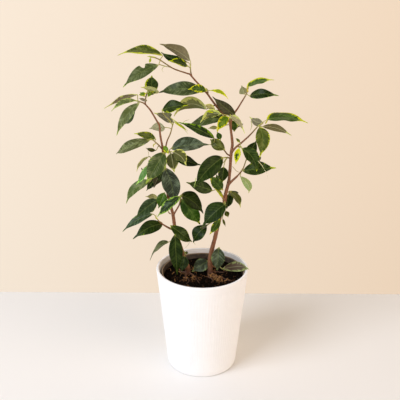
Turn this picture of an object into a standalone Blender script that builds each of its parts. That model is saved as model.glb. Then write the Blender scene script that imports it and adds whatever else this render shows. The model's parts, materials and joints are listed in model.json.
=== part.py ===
"""Potted weeping fig: a ribbed ceramic cover pot, a plastic grow pot, soil, two woody stems and their
leafy sprays. Metres, +Z up, origin on the pot's axis at the surface it stands on.

The stems and leaves are drafted in a front view, in centimetres. A drafted point is (x, z, depth):
x and z are where the front view shows it on the plane through the pot's axis, and depth is how far
behind that plane it lies, so seen() slides it along its line of sight to its real place.
"""
import math

import bmesh
import bpy
from mathutils import Vector

CM = 0.01
MM = 0.001
GAP = 0.3 * MM

# The front view is drawn from this eye, above and in front of the plant
EYE = Vector((-0.4, -84.0, 57.7)) * CM
EYE_DISTANCE = 84.0

# Cover pot, in centimetres
POT_HEIGHT = 15.65
POT_RIM_RADIUS = 6.75
POT_BASE_RADIUS = 5.2
POT_WALL = 0.42
POT_FLOOR = 0.5
POT_STEPS = 192
RIB_DEPTH = 0.05
RIB_LOW = 0.9
RIB_HIGH = 14.75
CAVITY_STEPS = 36

# Grow pot, in centimetres; it stands on the cover pot's floor, pushed to the right
GROW_SHIFT = 0.12
GROW_BASE_Z = POT_FLOOR + 0.03
GROW_RIM_Z = 15.05
GROW_RIM_RADIUS = 6.1
GROW_BAND_RADIUS = 5.9
GROW_BASE_RADIUS = 4.35
GROW_WALL = 0.12
GROW_BAND_HEIGHT = 1.1
GROW_STEPS = 28
DRAIN_COUNT = 5
DRAIN_RADIUS = 0.5
DRAIN_CIRCLE = 2.7

# Soil, in centimetres
SOIL_TOP = 14.3
SOIL_RELIEF = 0.12
SOIL_STEPS = 28
SOIL_RINGS = (0.95, 0.72, 0.45, 0.2)
SOIL_HOLE_BOTTOM = 11.6
STEM_FOOT_Z = 11.65

# Leaves. A blade narrower than SMALL_WIDTH, or whose tip lies farther back than AWAY_DEPTH, both in
# centimetres, has the fewer rows of SMALL_STATIONS
BLADE_THICKNESS = 0.7 * MM
BLADE_STATIONS = (0.0, 0.13, 0.38, 0.65, 0.87, 1.0)
SMALL_WIDTH = 1.22
AWAY_DEPTH = 4.0
SMALL_STATIONS = (0.0, 0.35, 0.8, 1.0)
BLADE_FOLD = 0.2
BLADE_END = 0.9
BLADE_LEAN = 0.86
BLADE_FULLNESS = 0.85
TAIL_START = 0.86
TAIL_WIDTH = 0.17
STALK_RADIUS = 0.65 * MM
STALK_LAST = 0.9
SHOOT_RADIUS = 1.0 * MM
SHOOT_TAPER = 0.3

# Colours: linear RGB, then roughness
CERAMIC_WHITE = ((0.90, 0.88, 0.85), 0.35)
NURSERY_TAUPE = ((0.12, 0.075, 0.05), 0.55)
PEAT_BLACK = ((0.012, 0.008, 0.006), 0.95)
BARK_BROWN = ((0.17, 0.065, 0.03), 0.7)
LEAF_GREEN = ((0.035, 0.075, 0.02), 0.4)


def seen(x, z, depth):
    """Real place, in metres, of a drafted point."""
    front = Vector((x, 0.0, z)) * CM
    return EYE + (front - EYE) * (1.0 + depth / EYE_DISTANCE)


# Woody stems: (x, z, depth, radius in mm) from the soil up
RIGHT_TRUNK = (
    (1.15, 15.4, 0.5, 3.9), (1.13, 16.4, 0.5, 3.4), (1.22, 17.6, 0.5, 3.2), (1.42, 18.7, 0.5, 3.1),
    (1.72, 20.0, 0.45, 3.0), (1.95, 21.1, 0.4, 2.9), (2.17, 22.1, 0.4, 2.8), (2.5, 23.6, 0.35, 2.7),
    (2.85, 24.8, 0.3, 2.6), (3.08, 26.0, 0.3, 2.6), (3.22, 27.2, 0.35, 2.5), (3.45, 28.2, 0.4, 2.4),
    (3.62, 29.1, 0.5, 2.2), (3.7, 30.1, 0.55, 2.1), (3.76, 31.1, 0.6, 2.1), (3.8, 32.2, 0.65, 2.1),
    (3.87, 33.3, 0.7, 2.1), (3.98, 34.2, 0.75, 1.9), (3.9, 35.1, 0.8, 1.8), (3.75, 36.1, 0.8, 1.7),
    (3.6, 37.1, 0.8, 1.6), (3.3, 37.8, 0.75, 1.5), (2.7, 38.45, 0.65, 1.4), (2.1, 39.1, 0.6, 1.4),
    (1.6, 39.7, 0.5, 1.35), (1.0, 40.5, 0.4, 1.3), (0.5, 41.2, 0.3, 1.25), (-0.1, 41.85, 0.2, 1.2),
    (-0.7, 42.5, 0.1, 1.15), (-1.25, 43.1, 0.0, 1.1), (-1.85, 43.8, -0.2, 1.1),
)
RIGHT_BRANCHES = (
    ((3.62, 36.9, 0.8, 1.4), (3.8, 37.9, 1.1, 1.3), (4.2, 38.7, 1.2, 1.2), (4.6, 39.3, 1.3, 1.1),
     (5.0, 40.0, 1.4, 1.0)),
    ((3.9, 33.2, 0.7, 1.6), (4.5, 33.9, 0.5, 1.3), (5.2, 34.5, 0.2, 1.2), (6.1, 35.35, -0.2, 1.1)),
    ((3.55, 28.5, 0.45, 1.8), (4.2, 29.15, 0.3, 1.5), (4.8, 29.75, 0.1, 1.3)),
    ((3.1, 26.1, 0.3, 2.0), (2.75, 26.7, 0.1, 1.8), (2.4, 27.2, 0.0, 1.5)),
)
LEFT_TRUNK = (
    (-2.15, 15.4, 0.3, 3.6), (-2.45, 16.5, 0.3, 3.1), (-2.8, 17.6, 0.3, 2.9), (-3.05, 18.5, 0.3, 2.8),
    (-3.4, 19.6, 0.3, 2.7), (-3.75, 20.9, 0.3, 2.6), (-4.03, 22.2, 0.3, 2.5), (-4.15, 23.2, 0.3, 2.4),
    (-4.28, 24.1, 0.3, 2.3), (-4.5, 25.0, 0.3, 2.1), (-4.8, 26.3, 0.35, 2.0), (-5.05, 27.8, 0.4, 1.9),
    (-5.25, 29.4, 0.45, 1.8), (-5.4, 31.0, 0.5, 1.7), (-5.5, 32.3, 0.45, 1.6), (-5.55, 33.3, 0.4, 1.5),
    (-5.65, 34.2, 0.35, 1.45), (-5.8, 35.1, 0.3, 1.4), (-5.9, 36.0, 0.25, 1.35),
    (-5.95, 36.85, 0.2, 1.3), (-6.35, 37.6, 0.1, 1.2), (-6.8, 38.4, -0.05, 1.1),
    (-7.2, 39.05, -0.2, 1.1), (-7.75, 39.7, -0.5, 1.0),
)
LEFT_BRANCHES = (
    ((-3.95, 21.5, 0.3, 1.7), (-4.7, 21.75, 0.0, 1.4), (-5.3, 22.1, -0.25, 1.2), (-5.9, 22.5, -0.45, 1.1)),
    ((-4.2, 23.8, 0.3, 1.3), (-3.85, 24.4, 0.15, 1.1), (-3.35, 25.3, 0.0, 1.0)),
    ((-5.5, 32.8, 0.44, 1.5), (-5.33, 33.4, 0.53, 1.3), (-5.1, 34.0, 0.6, 1.2)),
)

# Surface roots on the soil: real x, y in cm along each root, then its radius in mm at its thick end
RIGHT_ROOTS = (
    (((1.2, 0.4), (1.9, -0.5), (2.9, -0.9), (3.7, -1.7), (4.4, -1.9)), 1.6),
    (((1.2, 0.4), (0.9, -0.6), (1.5, -1.5), (1.3, -2.5)), 1.4),
    (((1.2, 0.4), (2.2, 0.9), (3.1, 0.8), (3.9, 1.6)), 1.3),
)
LEFT_ROOTS = (
    (((-2.1, 0.2), (-2.5, -0.9), (-1.9, -1.8), (-2.3, -2.9)), 1.5),
    (((-2.1, 0.2), (-1.2, -0.5), (-0.8, -1.6), (-0.4, -2.6)), 1.5),
    (((-2.1, 0.2), (-3.1, 0.9), (-3.5, 2.0)), 1.3),
)

# Leafy sprays. Each has its shoots, drafted from inside the wood outwards, and its leaves:
# base, tip, roll in degrees, width in cm, bow and sweep. Roll 0 turns the upper side to the eye and 180
# the underside. Bow is the arch towards the upper side and sweep the bend to the blade's own left, both
# as a share of its length.
SPRAYS = {
    "spray_top_end": (
        (((-1.85, 43.8, -0.2), (-2.4, 43.95, -0.3), (-4.1, 44.55, -0.6), (-5.9, 45.7, -1.0),
          (-6.9, 46.0, -1.2)),),
        (
            ((-5.4, 46.2, -0.5), (-11.25, 46.15, 0.6), 58, 2.0, 0.11, -0.02),
            ((-5.95, 44.95, -1.3), (-10.7, 42.0, -2.8), 35, 1.9, 0.04, -0.06),
            ((-6.95, 45.85, -1.2), (-7.1, 45.15, -1.3), 0, 0.3, 0.03, 0.0),
        ),
    ),
    "spray_top_fork": (
        (((-1.55, 43.43, -0.12), (-1.7, 43.95, 0.2), (-1.75, 44.5, 0.4)),),
        (
            ((-1.8, 45.55, 0.7), (-5.75, 47.65, 0.4), 130, 2.2, 0.12, -0.03),
            ((-2.15, 45.35, 2.0), (-5.6, 46.65, 4.0), 35, 1.2, 0.06, 0.12),
            ((-2.1, 44.85, -0.1), (-4.7, 45.5, -1.8), 45, 1.35, 0.08, 0.0),
        ),
    ),
    "spray_long_stem": (
        (((0.55, 41.15, 0.3), (0.55, 41.5, -0.15), (0.45, 41.75, -0.4)),),
        (
            ((0.0, 41.7, -0.5), (-6.0, 41.3, 0.6), 15, 1.9, 0.22, 0.0),
            ((0.4, 41.6, -0.9), (-2.1, 41.75, -2.4), 10, 1.1, 0.02, -0.08),
            ((0.9, 41.65, -0.4), (3.3, 40.5, -1.3), -45, 0.7, 0.1, 0.1),
        ),
    ),
    "spray_mid_stem": (
        (((1.6, 39.7, 0.5), (1.2, 39.55, 0.75), (0.8, 39.4, 0.75)),),
        (
            ((0.35, 39.15, 0.6), (-4.0, 38.1, 0.4), 140, 2.1, 0.2, 0.18),
            ((-1.2, 39.8, 1.6), (-3.0, 39.9, 5.0), 20, 1.2, 0.1, 0.0),
        ),
    ),
    "spray_crown_front": (
        (((3.6, 37.2, 0.8), (3.6, 37.8, 0.2), (3.6, 38.2, -0.1)),),
        (
            ((2.5, 37.95, 0.6), (-2.1, 36.9, 1.6), 40, 1.85, 0.2, 0.12),
            ((2.4, 38.5, -0.6), (-0.45, 37.25, -0.2), 150, 1.35, 0.18, 0.1),
            ((4.3, 38.3, 0.3), (1.15, 40.85, 0.2), 0, 1.4, 0.03, 0.02),
            ((3.45, 38.05, -0.6), (1.9, 36.0, -2.0), -15, 1.3, 0.02, -0.12),
            ((3.5, 38.1, -0.5), (5.65, 35.8, -2.8), -125, 1.25, 0.02, -0.16),
        ),
    ),
    "spray_crown_back": (
        (((3.72, 36.4, 0.8), (3.8, 36.9, 1.2), (3.7, 37.4, 1.5)),),
        (
            ((3.9, 37.6, 1.6), (4.25, 36.1, 2.2), 0, 1.2, 0.06, 0.0),
            ((2.6, 38.2, 2.0), (1.0, 37.9, 5.0), 20, 1.9, 0.1, 0.0),
            ((2.0, 36.6, 1.3), (0.6, 36.5, 1.6), 150, 0.6, 0.05, 0.0),
            ((4.3, 37.3, 2.2), (4.6, 36.7, 5.4), -10, 1.7, 0.1, 0.0),
        ),
    ),
    "spray_upper_right": (
        (((5.0, 40.0, 1.4), (5.4, 40.7, 1.5), (5.7, 41.3, 1.6), (5.85, 41.9, 1.7)),),
        (
            ((5.75, 42.15, 1.4), (9.3, 43.1, 2.2), -65, 2.0, 0.06, 0.08),
            ((6.1, 40.95, 1.0), (10.0, 41.0, -0.4), -25, 1.45, 0.22, -0.03),
            ((5.4, 41.2, 1.9), (5.0, 42.35, 3.6), 180, 1.25, 0.04, 0.0),
        ),
    ),
    "spray_right_branch": (
        (((6.1, 35.35, -0.2), (6.6, 35.9, -0.4), (7.1, 36.5, -0.6), (7.4, 36.85, -0.7)),),
        (
            ((8.55, 37.75, -0.9), (14.15, 37.3, -0.6), -62, 2.7, 0.03, 0.16),
            ((8.0, 36.8, -0.6), (12.0, 35.55, 0.2), -158, 1.05, 0.1, -0.05),
            ((7.6, 36.75, -1.2), (7.75, 32.45, -3.4), -3, 1.9, 0.13, 0.1),
            ((8.05, 37.3, -0.1), (6.2, 38.15, 1.3), 170, 1.1, 0.03, -0.12),
        ),
    ),
    "spray_right_inner": (
        (((4.6, 33.98, 0.45), (4.85, 33.95, 0.1), (5.05, 33.95, -0.15)),),
        (
            ((5.3, 33.7, -0.4), (7.45, 30.4, -1.8), -20, 1.85, 0.04, 0.14),
            ((4.9, 33.75, -0.5), (4.5, 31.4, -1.2), 8, 0.9, 0.08, 0.0),
            ((5.0, 34.55, -0.1), (4.4, 35.2, 0.2), 30, 0.45, 0.04, 0.0),
        ),
    ),
    "spray_lower_right": (
        (((4.8, 29.75, 0.1), (5.2, 30.25, 0.0), (5.5, 30.7, 0.05), (5.95, 32.1, 0.15)),),
        (
            ((6.05, 32.4, 0.4), (7.3, 34.9, 1.8), 0, 1.5, 0.05, 0.0),
            ((5.5, 30.5, -0.3), (10.15, 30.95, -1.2), -36, 2.25, 0.05, -0.02),
            ((5.2, 29.65, -0.1), (6.4, 27.2, -2.4), 180, 1.05, 0.22, -0.15),
            ((6.9, 32.2, 1.6), (7.6, 31.6, 5.0), -20, 1.7, 0.1, 0.0),
        ),
    ),
    "spray_large_leaf": (
        (((3.8, 32.2, 0.65), (3.4, 32.4, 0.1), (3.1, 32.4, -0.3)),),
        (
            ((2.75, 32.4, -0.6), (-1.15, 28.0, -2.9), -8, 2.5, 0.1, -0.08),
            ((2.85, 31.05, 0.8), (2.65, 28.6, -0.1), -10, 1.5, 0.05, 0.0),
            ((2.7, 31.6, 1.7), (0.9, 30.6, 5.2), 15, 2.0, 0.1, 0.0),
        ),
    ),
    "spray_inner_left": (
        (((3.82, 32.6, 0.67), (3.3, 32.9, 0.6), (2.9, 33.4, 0.6), (2.3, 33.9, 0.8), (1.5, 34.2, 0.9)),),
        (
            ((2.95, 33.55, 0.1), (0.9, 35.0, 1.5), -12, 1.55, 0.22, -0.03),
            ((1.5, 35.1, -0.3), (-3.5, 37.35, -0.4), -20, 1.2, 0.2, -0.12),
            ((2.35, 35.0, 0.4), (1.85, 36.05, 0.6), 0, 0.8, 0.04, 0.0),
            ((-0.2, 34.2, 1.9), (-2.5, 33.9, 4.2), 15, 1.1, 0.1, 0.0),
        ),
    ),
    "spray_node_left": (
        (((2.4, 27.15, 0.0), (2.2, 27.6, -0.1), (2.15, 27.85, -0.15)),),
        (
            ((1.35, 27.55, -0.4), (-2.35, 28.75, -1.8), 8, 1.7, 0.03, 0.0),
            ((2.75, 27.7, -0.35), (0.8, 29.9, -1.4), -5, 1.5, 0.03, 0.0),
            ((2.6, 28.3, 0.8), (1.8, 30.0, 1.9), 0, 1.0, 0.05, 0.0),
        ),
    ),
    "spray_node_right": (
        (((3.25, 27.2, 0.35), (3.55, 27.35, 0.8), (3.7, 27.4, 1.0)),),
        (
            ((3.6, 27.0, 1.2), (3.4, 24.8, 0.9), 0, 1.5, 0.05, 0.0),
            ((3.9, 27.35, 0.7), (5.35, 25.0, -0.3), -55, 1.7, 0.15, 0.0),
            ((4.0, 26.9, 1.3), (4.2, 25.8, 1.5), 0, 0.5, 0.04, 0.0),
            ((3.8, 27.5, 1.9), (4.1, 26.9, 5.2), -10, 1.8, 0.12, 0.0),
        ),
    ),
    "spray_lower_front": (
        (((3.05, 25.7, 0.3), (3.12, 25.8, -0.15), (3.1, 25.85, -0.45)),),
        (
            ((3.25, 25.6, -0.75), (0.0, 22.15, -1.5), 25, 2.7, 0.1, 0.0),
        ),
    ),
    "spray_low_right": (
        (((2.65, 24.15, 0.33), (2.85, 24.3, 0.75), (3.0, 24.4, 0.95)),),
        (
            ((3.3, 24.45, 0.9), (3.65, 23.5, 0.6), 0, 0.75, 0.05, 0.0),
            ((2.85, 23.3, 1.0), (3.3, 22.05, 0.9), 0, 0.35, 0.03, 0.0),
            ((2.6, 24.7, 1.7), (1.5, 24.2, 4.6), 10, 1.9, 0.1, 0.0),
        ),
    ),
    "spray_low_left": (
        (((2.35, 23.0, 0.37), (2.2, 23.1, -0.1), (2.05, 23.1, -0.25)),),
        (
            ((2.45, 23.25, -0.5), (1.0, 20.8, -1.3), -18, 1.15, 0.04, 0.0),
            ((0.55, 22.2, 0.1), (-1.35, 19.5, 0.0), 22, 2.05, 0.22, 0.0),
        ),
    ),
    "spray_right_foot": (
        (((1.15, 15.9, 0.5), (1.35, 15.95, 1.1), (1.8, 15.6, 1.2), (2.4, 15.8, 1.0),
          (2.6, 17.0, 0.6), (2.6, 18.2, 0.2)),),
        (
            ((2.35, 18.75, -0.5), (2.2, 15.0, -0.6), 0, 2.0, 0.05, 0.0),
            ((3.0, 15.3, 0.5), (6.9, 15.25, -2.3), -155, 1.6, 0.2, 0.0),
            ((0.85, 16.6, 1.1), (-1.5, 14.85, 0.3), 15, 2.05, 0.06, 0.0),
        ),
    ),
    "spray_left_top": (
        (((-7.8, 39.75, -0.5), (-8.1, 39.95, -0.6), (-8.75, 40.15, -0.75)),
         ((-7.8, 39.75, -0.5), (-7.75, 40.4, -0.4), (-7.55, 41.2, -0.35))),
        (
            ((-6.95, 41.15, -0.3), (-6.85, 43.6, 2.2), 0, 1.8, 0.06, 0.0),
            ((-6.0, 41.35, 0.6), (-8.35, 42.05, 2.0), 150, 1.15, 0.08, 0.0),
            ((-8.85, 41.05, 0.2), (-13.35, 39.15, 1.4), 124, 1.3, 0.14, -0.14),
            ((-9.0, 40.25, -0.8), (-12.4, 38.75, -1.8), 48, 1.05, 0.12, -0.06),
            ((-8.6, 39.9, -1.2), (-11.8, 35.4, -2.2), 28, 1.45, 0.06, -0.06),
            ((-7.8, 40.8, -0.5), (-8.5, 41.4, -0.4), 20, 0.45, 0.03, 0.0),
            ((-9.2, 39.0, 0.4), (-10.6, 37.0, 3.6), 10, 1.2, 0.1, 0.0),
        ),
    ),
    "spray_left_twig": (
        (((-5.6, 33.5, 0.38), (-6.0, 34.0, 0.1), (-6.5, 34.5, -0.1), (-6.85, 34.8, -0.2)),),
        (
            ((-6.5, 34.95, 0.2), (-9.45, 35.7, 1.4), 28, 1.15, 0.07, -0.04),
            ((-7.25, 34.85, -0.5), (-12.0, 32.8, 1.0), 42, 1.9, 0.2, 0.12),
            ((-6.55, 33.35, 0.6), (-7.9, 33.7, 0.4), -20, 0.6, 0.03, 0.05),
        ),
    ),
    "spray_left_second": (
        (((-5.12, 33.95, 0.6), (-4.9, 34.8, 0.7), (-4.5, 35.7, 0.8), (-4.15, 37.0, 0.9)),),
        (
            ((-5.2, 36.6, 0.9), (-7.35, 36.4, 1.8), 150, 1.5, 0.06, 0.0),
            ((-4.05, 37.35, 1.1), (-6.7, 38.6, 2.4), 140, 1.4, 0.06, 0.0),
            ((-4.0, 37.4, 0.8), (-2.1, 36.1, 0.5), -30, 0.4, 0.05, 0.0),
            ((-4.9, 37.7, 2.0), (-4.8, 38.6, 4.8), 0, 1.2, 0.1, 0.0),
            ((-5.55, 39.0, 0.2), (-2.05, 39.7, -0.6), -35, 1.9, 0.1, -0.02),
        ),
    ),
    "spray_left_middle": (
        (((-5.51, 32.6, 0.43), (-5.2, 33.0, -0.1), (-4.7, 33.2, -0.5)),),
        (
            ((-5.35, 33.1, -0.9), (-8.0, 28.5, -2.8), 0, 2.4, 0.06, 0.0),
            ((-5.4, 34.0, -0.4), (-4.75, 32.8, -1.3), 0, 0.7, 0.05, 0.0),
            ((-4.2, 33.15, -1.5), (-2.35, 31.2, -1.5), -168, 1.6, 0.03, -0.14),
            ((-4.2, 32.8, 0.4), (-0.2, 31.3, 0.8), -26, 1.55, 0.16, -0.12),
            ((-4.4, 32.95, -0.9), (-4.0, 30.2, -0.7), 180, 1.8, 0.06, 0.0),
            ((-4.4, 33.65, 0.4), (0.75, 34.2, 0.9), -40, 2.65, 0.1, -0.03),
        ),
    ),
    "spray_left_hanging": (
        (((-5.4, 31.2, 0.5), (-6.1, 31.3, 0.6), (-6.7, 31.1, 0.5), (-7.2, 30.0, 0.4)),),
        (
            ((-7.45, 32.5, 0.7), (-9.25, 30.3, 1.2), 120, 0.95, 0.07, 0.05),
            ((-7.85, 31.1, -0.1), (-9.4, 28.35, -1.0), 30, 1.0, 0.03, 0.1),
            ((-7.35, 28.9, 0.3), (-10.85, 25.5, -0.8), 32, 1.6, 0.03, -0.15),
            ((-5.6, 30.9, 1.1), (-6.9, 27.9, 1.6), 170, 1.9, 0.06, 0.0),
            ((-6.6, 29.4, 1.9), (-7.95, 27.45, 2.2), 0, 1.0, 0.06, 0.0),
            ((-6.2, 31.8, 1.4), (-6.9, 31.0, 4.8), 10, 2.0, 0.1, 0.0),
        ),
    ),
    "spray_left_dark": (
        (((-5.3, 30.1, 0.47), (-5.25, 30.55, 0.0), (-5.2, 30.8, -0.2)),),
        (
            ((-5.35, 30.85, -0.2), (-4.3, 25.6, 0.3), 10, 2.5, 0.08, 0.1),
            ((-5.6, 30.6, 0.5), (-6.2, 28.9, 0.9), 0, 1.4, 0.05, 0.0),
        ),
    ),
    "spray_left_back": (
        (((-5.15, 28.6, 0.42), (-5.1, 28.9, 0.9), (-5.0, 29.3, 1.3)),),
        (
            ((-4.9, 29.7, 1.8), (-4.3, 28.2, 5.0), 0, 2.0, 0.12, 0.0),
        ),
    ),
    "spray_left_side": (
        (((-4.83, 26.4, 0.35), (-5.3, 26.5, 0.1), (-5.75, 26.3, 0.05), (-6.15, 26.05, 0.0)),),
        (
            ((-6.4, 26.1, -0.3), (-9.65, 23.25, -2.2), -15, 1.85, 0.07, -0.06),
            ((-6.3, 26.2, 0.5), (-8.1, 26.6, 1.8), 150, 1.1, 0.1, 0.0),
            ((-5.4, 27.2, -0.3), (-6.3, 24.8, -0.9), 10, 1.5, 0.05, 0.0),
            ((-6.5, 25.5, 0.8), (-7.6, 25.0, 4.2), 10, 1.9, 0.1, 0.0),
        ),
    ),
    "spray_left_fork": (
        (((-3.35, 25.3, 0.0), (-3.22, 25.9, -0.1), (-3.15, 26.3, -0.15)),),
        (
            ((-3.15, 26.7, -0.9), (-6.5, 23.5, -1.4), 38, 1.7, 0.2, 0.1),
            ((-3.1, 26.85, -0.5), (0.1, 24.05, -0.3), -42, 2.8, 0.05, 0.08),
            ((-3.1, 26.2, 0.0), (-0.35, 22.35, 1.2), 22, 2.3, 0.08, 0.05),
            ((-2.9, 26.3, 0.6), (-1.6, 25.5, 4.4), -10, 1.9, 0.1, 0.0),
        ),
    ),
    "spray_left_low_end": (
        (((-5.9, 22.5, -0.45), (-6.2, 22.8, -0.5), (-6.45, 23.15, -0.5)),),
        (
            ((-7.1, 23.95, -0.2), (-11.55, 21.15, -0.9), 32, 1.35, 0.03, -0.07),
            ((-5.75, 22.4, -0.1), (-10.1, 20.0, -2.8), 16, 2.0, 0.2, -0.03),
        ),
    ),
    "spray_left_front": (
        (((-4.02, 22.0, 0.3), (-4.15, 22.05, -0.2), (-4.25, 21.95, -0.55)),),
        (
            ((-4.6, 22.2, -0.9), (-1.5, 19.65, 0.0), -28, 1.9, 0.17, -0.09),
            ((-4.0, 20.8, -1.0), (-3.7, 14.3, -1.8), 0, 2.0, 0.04, 0.0),
        ),
    ),
    "spray_left_low": (
        (((-3.35, 19.45, 0.3), (-3.7, 19.6, 0.6), (-4.3, 19.75, 0.4)),),
        (
            ((-4.9, 19.6, 0.0), (-7.7, 16.6, 0.4), 70, 1.95, 0.1, -0.07),
            ((-4.2, 19.9, 1.4), (-3.4, 19.6, 4.6), 0, 1.9, 0.1, 0.0),
        ),
    ),
    "spray_left_foot": (
        (((-2.95, 18.15, 0.3), (-2.75, 18.2, -0.1), (-2.6, 18.0, -0.35)),),
        (
            ((-2.6, 17.4, -0.35), (-3.05, 14.85, -0.6), 0, 1.6, 0.05, 0.0),
            ((-2.5, 18.0, 0.4), (-2.05, 17.8, 0.1), 0, 0.45, 0.03, 0.0),
        ),
    ),
}


def object_from(mesh, name):
    """A linked object for a mesh."""
    piece = bpy.data.objects.new(name, mesh)
    bpy.context.scene.collection.objects.link(piece)
    return piece


def baked(piece, weld=True):
    """The piece with its modifiers applied, or a curve made a mesh, its seams welded if weld is set."""
    graph = bpy.context.evaluated_depsgraph_get()
    mesh = bpy.data.meshes.new_from_object(piece.evaluated_get(graph))
    name = piece.name
    place = piece.matrix_world.copy()
    bpy.data.objects.remove(piece)
    if weld:
        bm = bmesh.new()
        bm.from_mesh(mesh)
        bmesh.ops.remove_doubles(bm, verts=bm.verts, dist=0.00001)
        bm.to_mesh(mesh)
        bm.free()
    solid = object_from(mesh, name)
    solid.matrix_world = place
    return solid


def boolean(piece, operation, others, solver="EXACT"):
    """Join or cut the piece with the others, apply it, and remove them."""
    tools = bpy.data.collections.new("tools")
    for other in others:
        tools.objects.link(other)
    modifier = piece.modifiers.new("boolean", "BOOLEAN")
    modifier.operation = operation
    modifier.operand_type = "COLLECTION"
    modifier.collection = tools
    modifier.solver = solver
    solid = baked(piece, weld=False)
    for other in others:
        bpy.data.objects.remove(other)
    bpy.data.collections.remove(tools)
    return solid


def turned(name, profile, steps):
    """Profile of (radius, height) in cm from the lower to the upper end of the axis, turned solid."""
    mesh = bpy.data.meshes.new(name)
    points = [(radius * CM, 0.0, height * CM) for radius, height in profile]
    mesh.from_pydata(points, [(i + 1, i) for i in range(len(points) - 1)], [])
    piece = object_from(mesh, name)
    screw = piece.modifiers.new("turn", "SCREW")
    screw.steps = steps
    screw.render_steps = steps
    screw.use_merge_vertices = True
    screw.merge_threshold = 0.00001
    return baked(piece)


def tube(name, points, radii, resolution):
    """A round stem through the points, with a radius at each, its ends capped."""
    curve = bpy.data.curves.new(name, "CURVE")
    curve.dimensions = "3D"
    curve.bevel_depth = radii[0]
    curve.bevel_resolution = resolution
    curve.use_fill_caps = True
    spline = curve.splines.new("POLY")
    spline.points.add(len(points) - 1)
    for knot, point, radius in zip(spline.points, points, radii):
        knot.co = (*point, 1.0)
        knot.radius = radius / radii[0]
    return baked(object_from(curve, name))


def finish(piece, name, look, smooth_angle):
    """Name the piece, give it its material and shade it smooth below an angle in degrees."""
    colour, roughness = look
    material = bpy.data.materials.new(name)
    material.use_nodes = True
    shader = material.node_tree.nodes["Principled BSDF"]
    shader.inputs["Base Color"].default_value = (*colour, 1.0)
    shader.inputs["Roughness"].default_value = roughness
    piece.name = name
    piece.data.materials.clear()
    piece.data.materials.append(material)
    piece.data.shade_smooth()
    piece.data.set_sharp_from_angle(angle=math.radians(smooth_angle))
    return piece


def pot_radius(height):
    """Outer radius of the cover pot's straight taper at a height, in cm."""
    return POT_BASE_RADIUS + (POT_RIM_RADIUS - POT_BASE_RADIUS) * height / POT_HEIGHT


def cover_pot():
    """Tapered ceramic pot: a turned body with fine ribs, hollowed by a turned cavity."""
    top = POT_HEIGHT
    body = turned("cover_pot", (
        (0.0, 0.0), (POT_BASE_RADIUS - 0.42, 0.0), (POT_BASE_RADIUS - 0.05, 0.25),
        (pot_radius(RIB_LOW), RIB_LOW), (pot_radius(RIB_HIGH), RIB_HIGH),
        (pot_radius(top - 0.16), top - 0.16), (POT_RIM_RADIUS - 0.14, top), (0.0, top)), POT_STEPS)
    for vertex in body.data.vertices:
        ribbed = RIB_LOW - 0.1 < vertex.co.z / CM < RIB_HIGH + 0.1
        if ribbed:
            angle = math.atan2(vertex.co.y, vertex.co.x)
            valley = 0.5 - 0.5 * math.cos(POT_STEPS / 2 * angle)
            shrink = 1.0 - RIB_DEPTH * CM * valley / math.hypot(vertex.co.x, vertex.co.y)
            vertex.co.x *= shrink
            vertex.co.y *= shrink
    floor = POT_FLOOR
    cavity = turned("cavity", (
        (0.0, floor), (pot_radius(floor) - POT_WALL - 0.4, floor),
        (pot_radius(floor + 0.4) - POT_WALL, floor + 0.4), (pot_radius(top) - POT_WALL, top - 0.2),
        (POT_RIM_RADIUS - 0.3, top - 0.04), (POT_RIM_RADIUS - 0.22, top + 0.1),
        (0.0, top + 0.1)), CAVITY_STEPS)
    pot = boolean(body, "DIFFERENCE", [cavity])
    return finish(pot, "cover_pot", CERAMIC_WHITE, 35)


def drum(name, x, y, low, high, radius, sides):
    """Upright cylinder between two heights; sizes in cm."""
    bpy.ops.mesh.primitive_cylinder_add(vertices=sides, radius=radius * CM, depth=(high - low) * CM,
                                        location=(x * CM, y * CM, (low + high) / 2 * CM))
    piece = bpy.context.object
    piece.name = name
    return piece


def grow_pot():
    """Thin nursery pot with a broad rim band and drain holes in its floor."""
    base = GROW_BASE_Z
    band = GROW_RIM_Z - GROW_BAND_HEIGHT
    wall = GROW_WALL
    pot = turned("grow_pot", (
        (0.0, base), (GROW_BASE_RADIUS - 0.15, base), (GROW_BASE_RADIUS, base + 0.2),
        (GROW_BAND_RADIUS - 0.1, band - 0.05), (GROW_BAND_RADIUS + 0.06, band),
        (GROW_RIM_RADIUS - 0.02, GROW_RIM_Z - 0.12), (GROW_RIM_RADIUS - 0.1, GROW_RIM_Z),
        (GROW_RIM_RADIUS - 0.22, GROW_RIM_Z - 0.05), (GROW_BAND_RADIUS - wall, band),
        (GROW_BASE_RADIUS - wall, base + 0.3), (GROW_BASE_RADIUS - 0.4, base + wall),
        (0.0, base + wall)), GROW_STEPS)
    holes = []
    for index in range(DRAIN_COUNT):
        angle = math.tau * index / DRAIN_COUNT
        holes.append(drum("drain", DRAIN_CIRCLE * math.cos(angle), DRAIN_CIRCLE * math.sin(angle),
                          base - 0.2, base + 0.25, DRAIN_RADIUS, 12))
    pot = boolean(pot, "DIFFERENCE", holes)
    pot.location.x = GROW_SHIFT * CM
    return finish(pot, "grow_pot", NURSERY_TAUPE, 35)


def grow_inside(height):
    """Inner radius of the grow pot at a height, in cm."""
    band = GROW_RIM_Z - GROW_BAND_HEIGHT
    low = GROW_BASE_Z + 0.3
    if height < band:
        share = (height - low) / (band - low)
        return GROW_BASE_RADIUS + (GROW_BAND_RADIUS - GROW_BASE_RADIUS) * share - GROW_WALL
    share = (height - band) / GROW_BAND_HEIGHT
    return GROW_BAND_RADIUS - GROW_WALL + (GROW_RIM_RADIUS - GROW_BAND_RADIUS - 0.1) * share


def soil_dip(x, y):
    """How far the soil lies below its top level at a place, 0 to SOIL_RELIEF; cm."""
    waves = math.sin(2.1 * x + 0.7 * y) * math.cos(1.7 * y - 0.9 * x)
    waves += 0.6 * math.sin(3.3 * x - 2.4 * y + 1.1)
    return SOIL_RELIEF * (0.5 + waves / 3.2)


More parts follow.
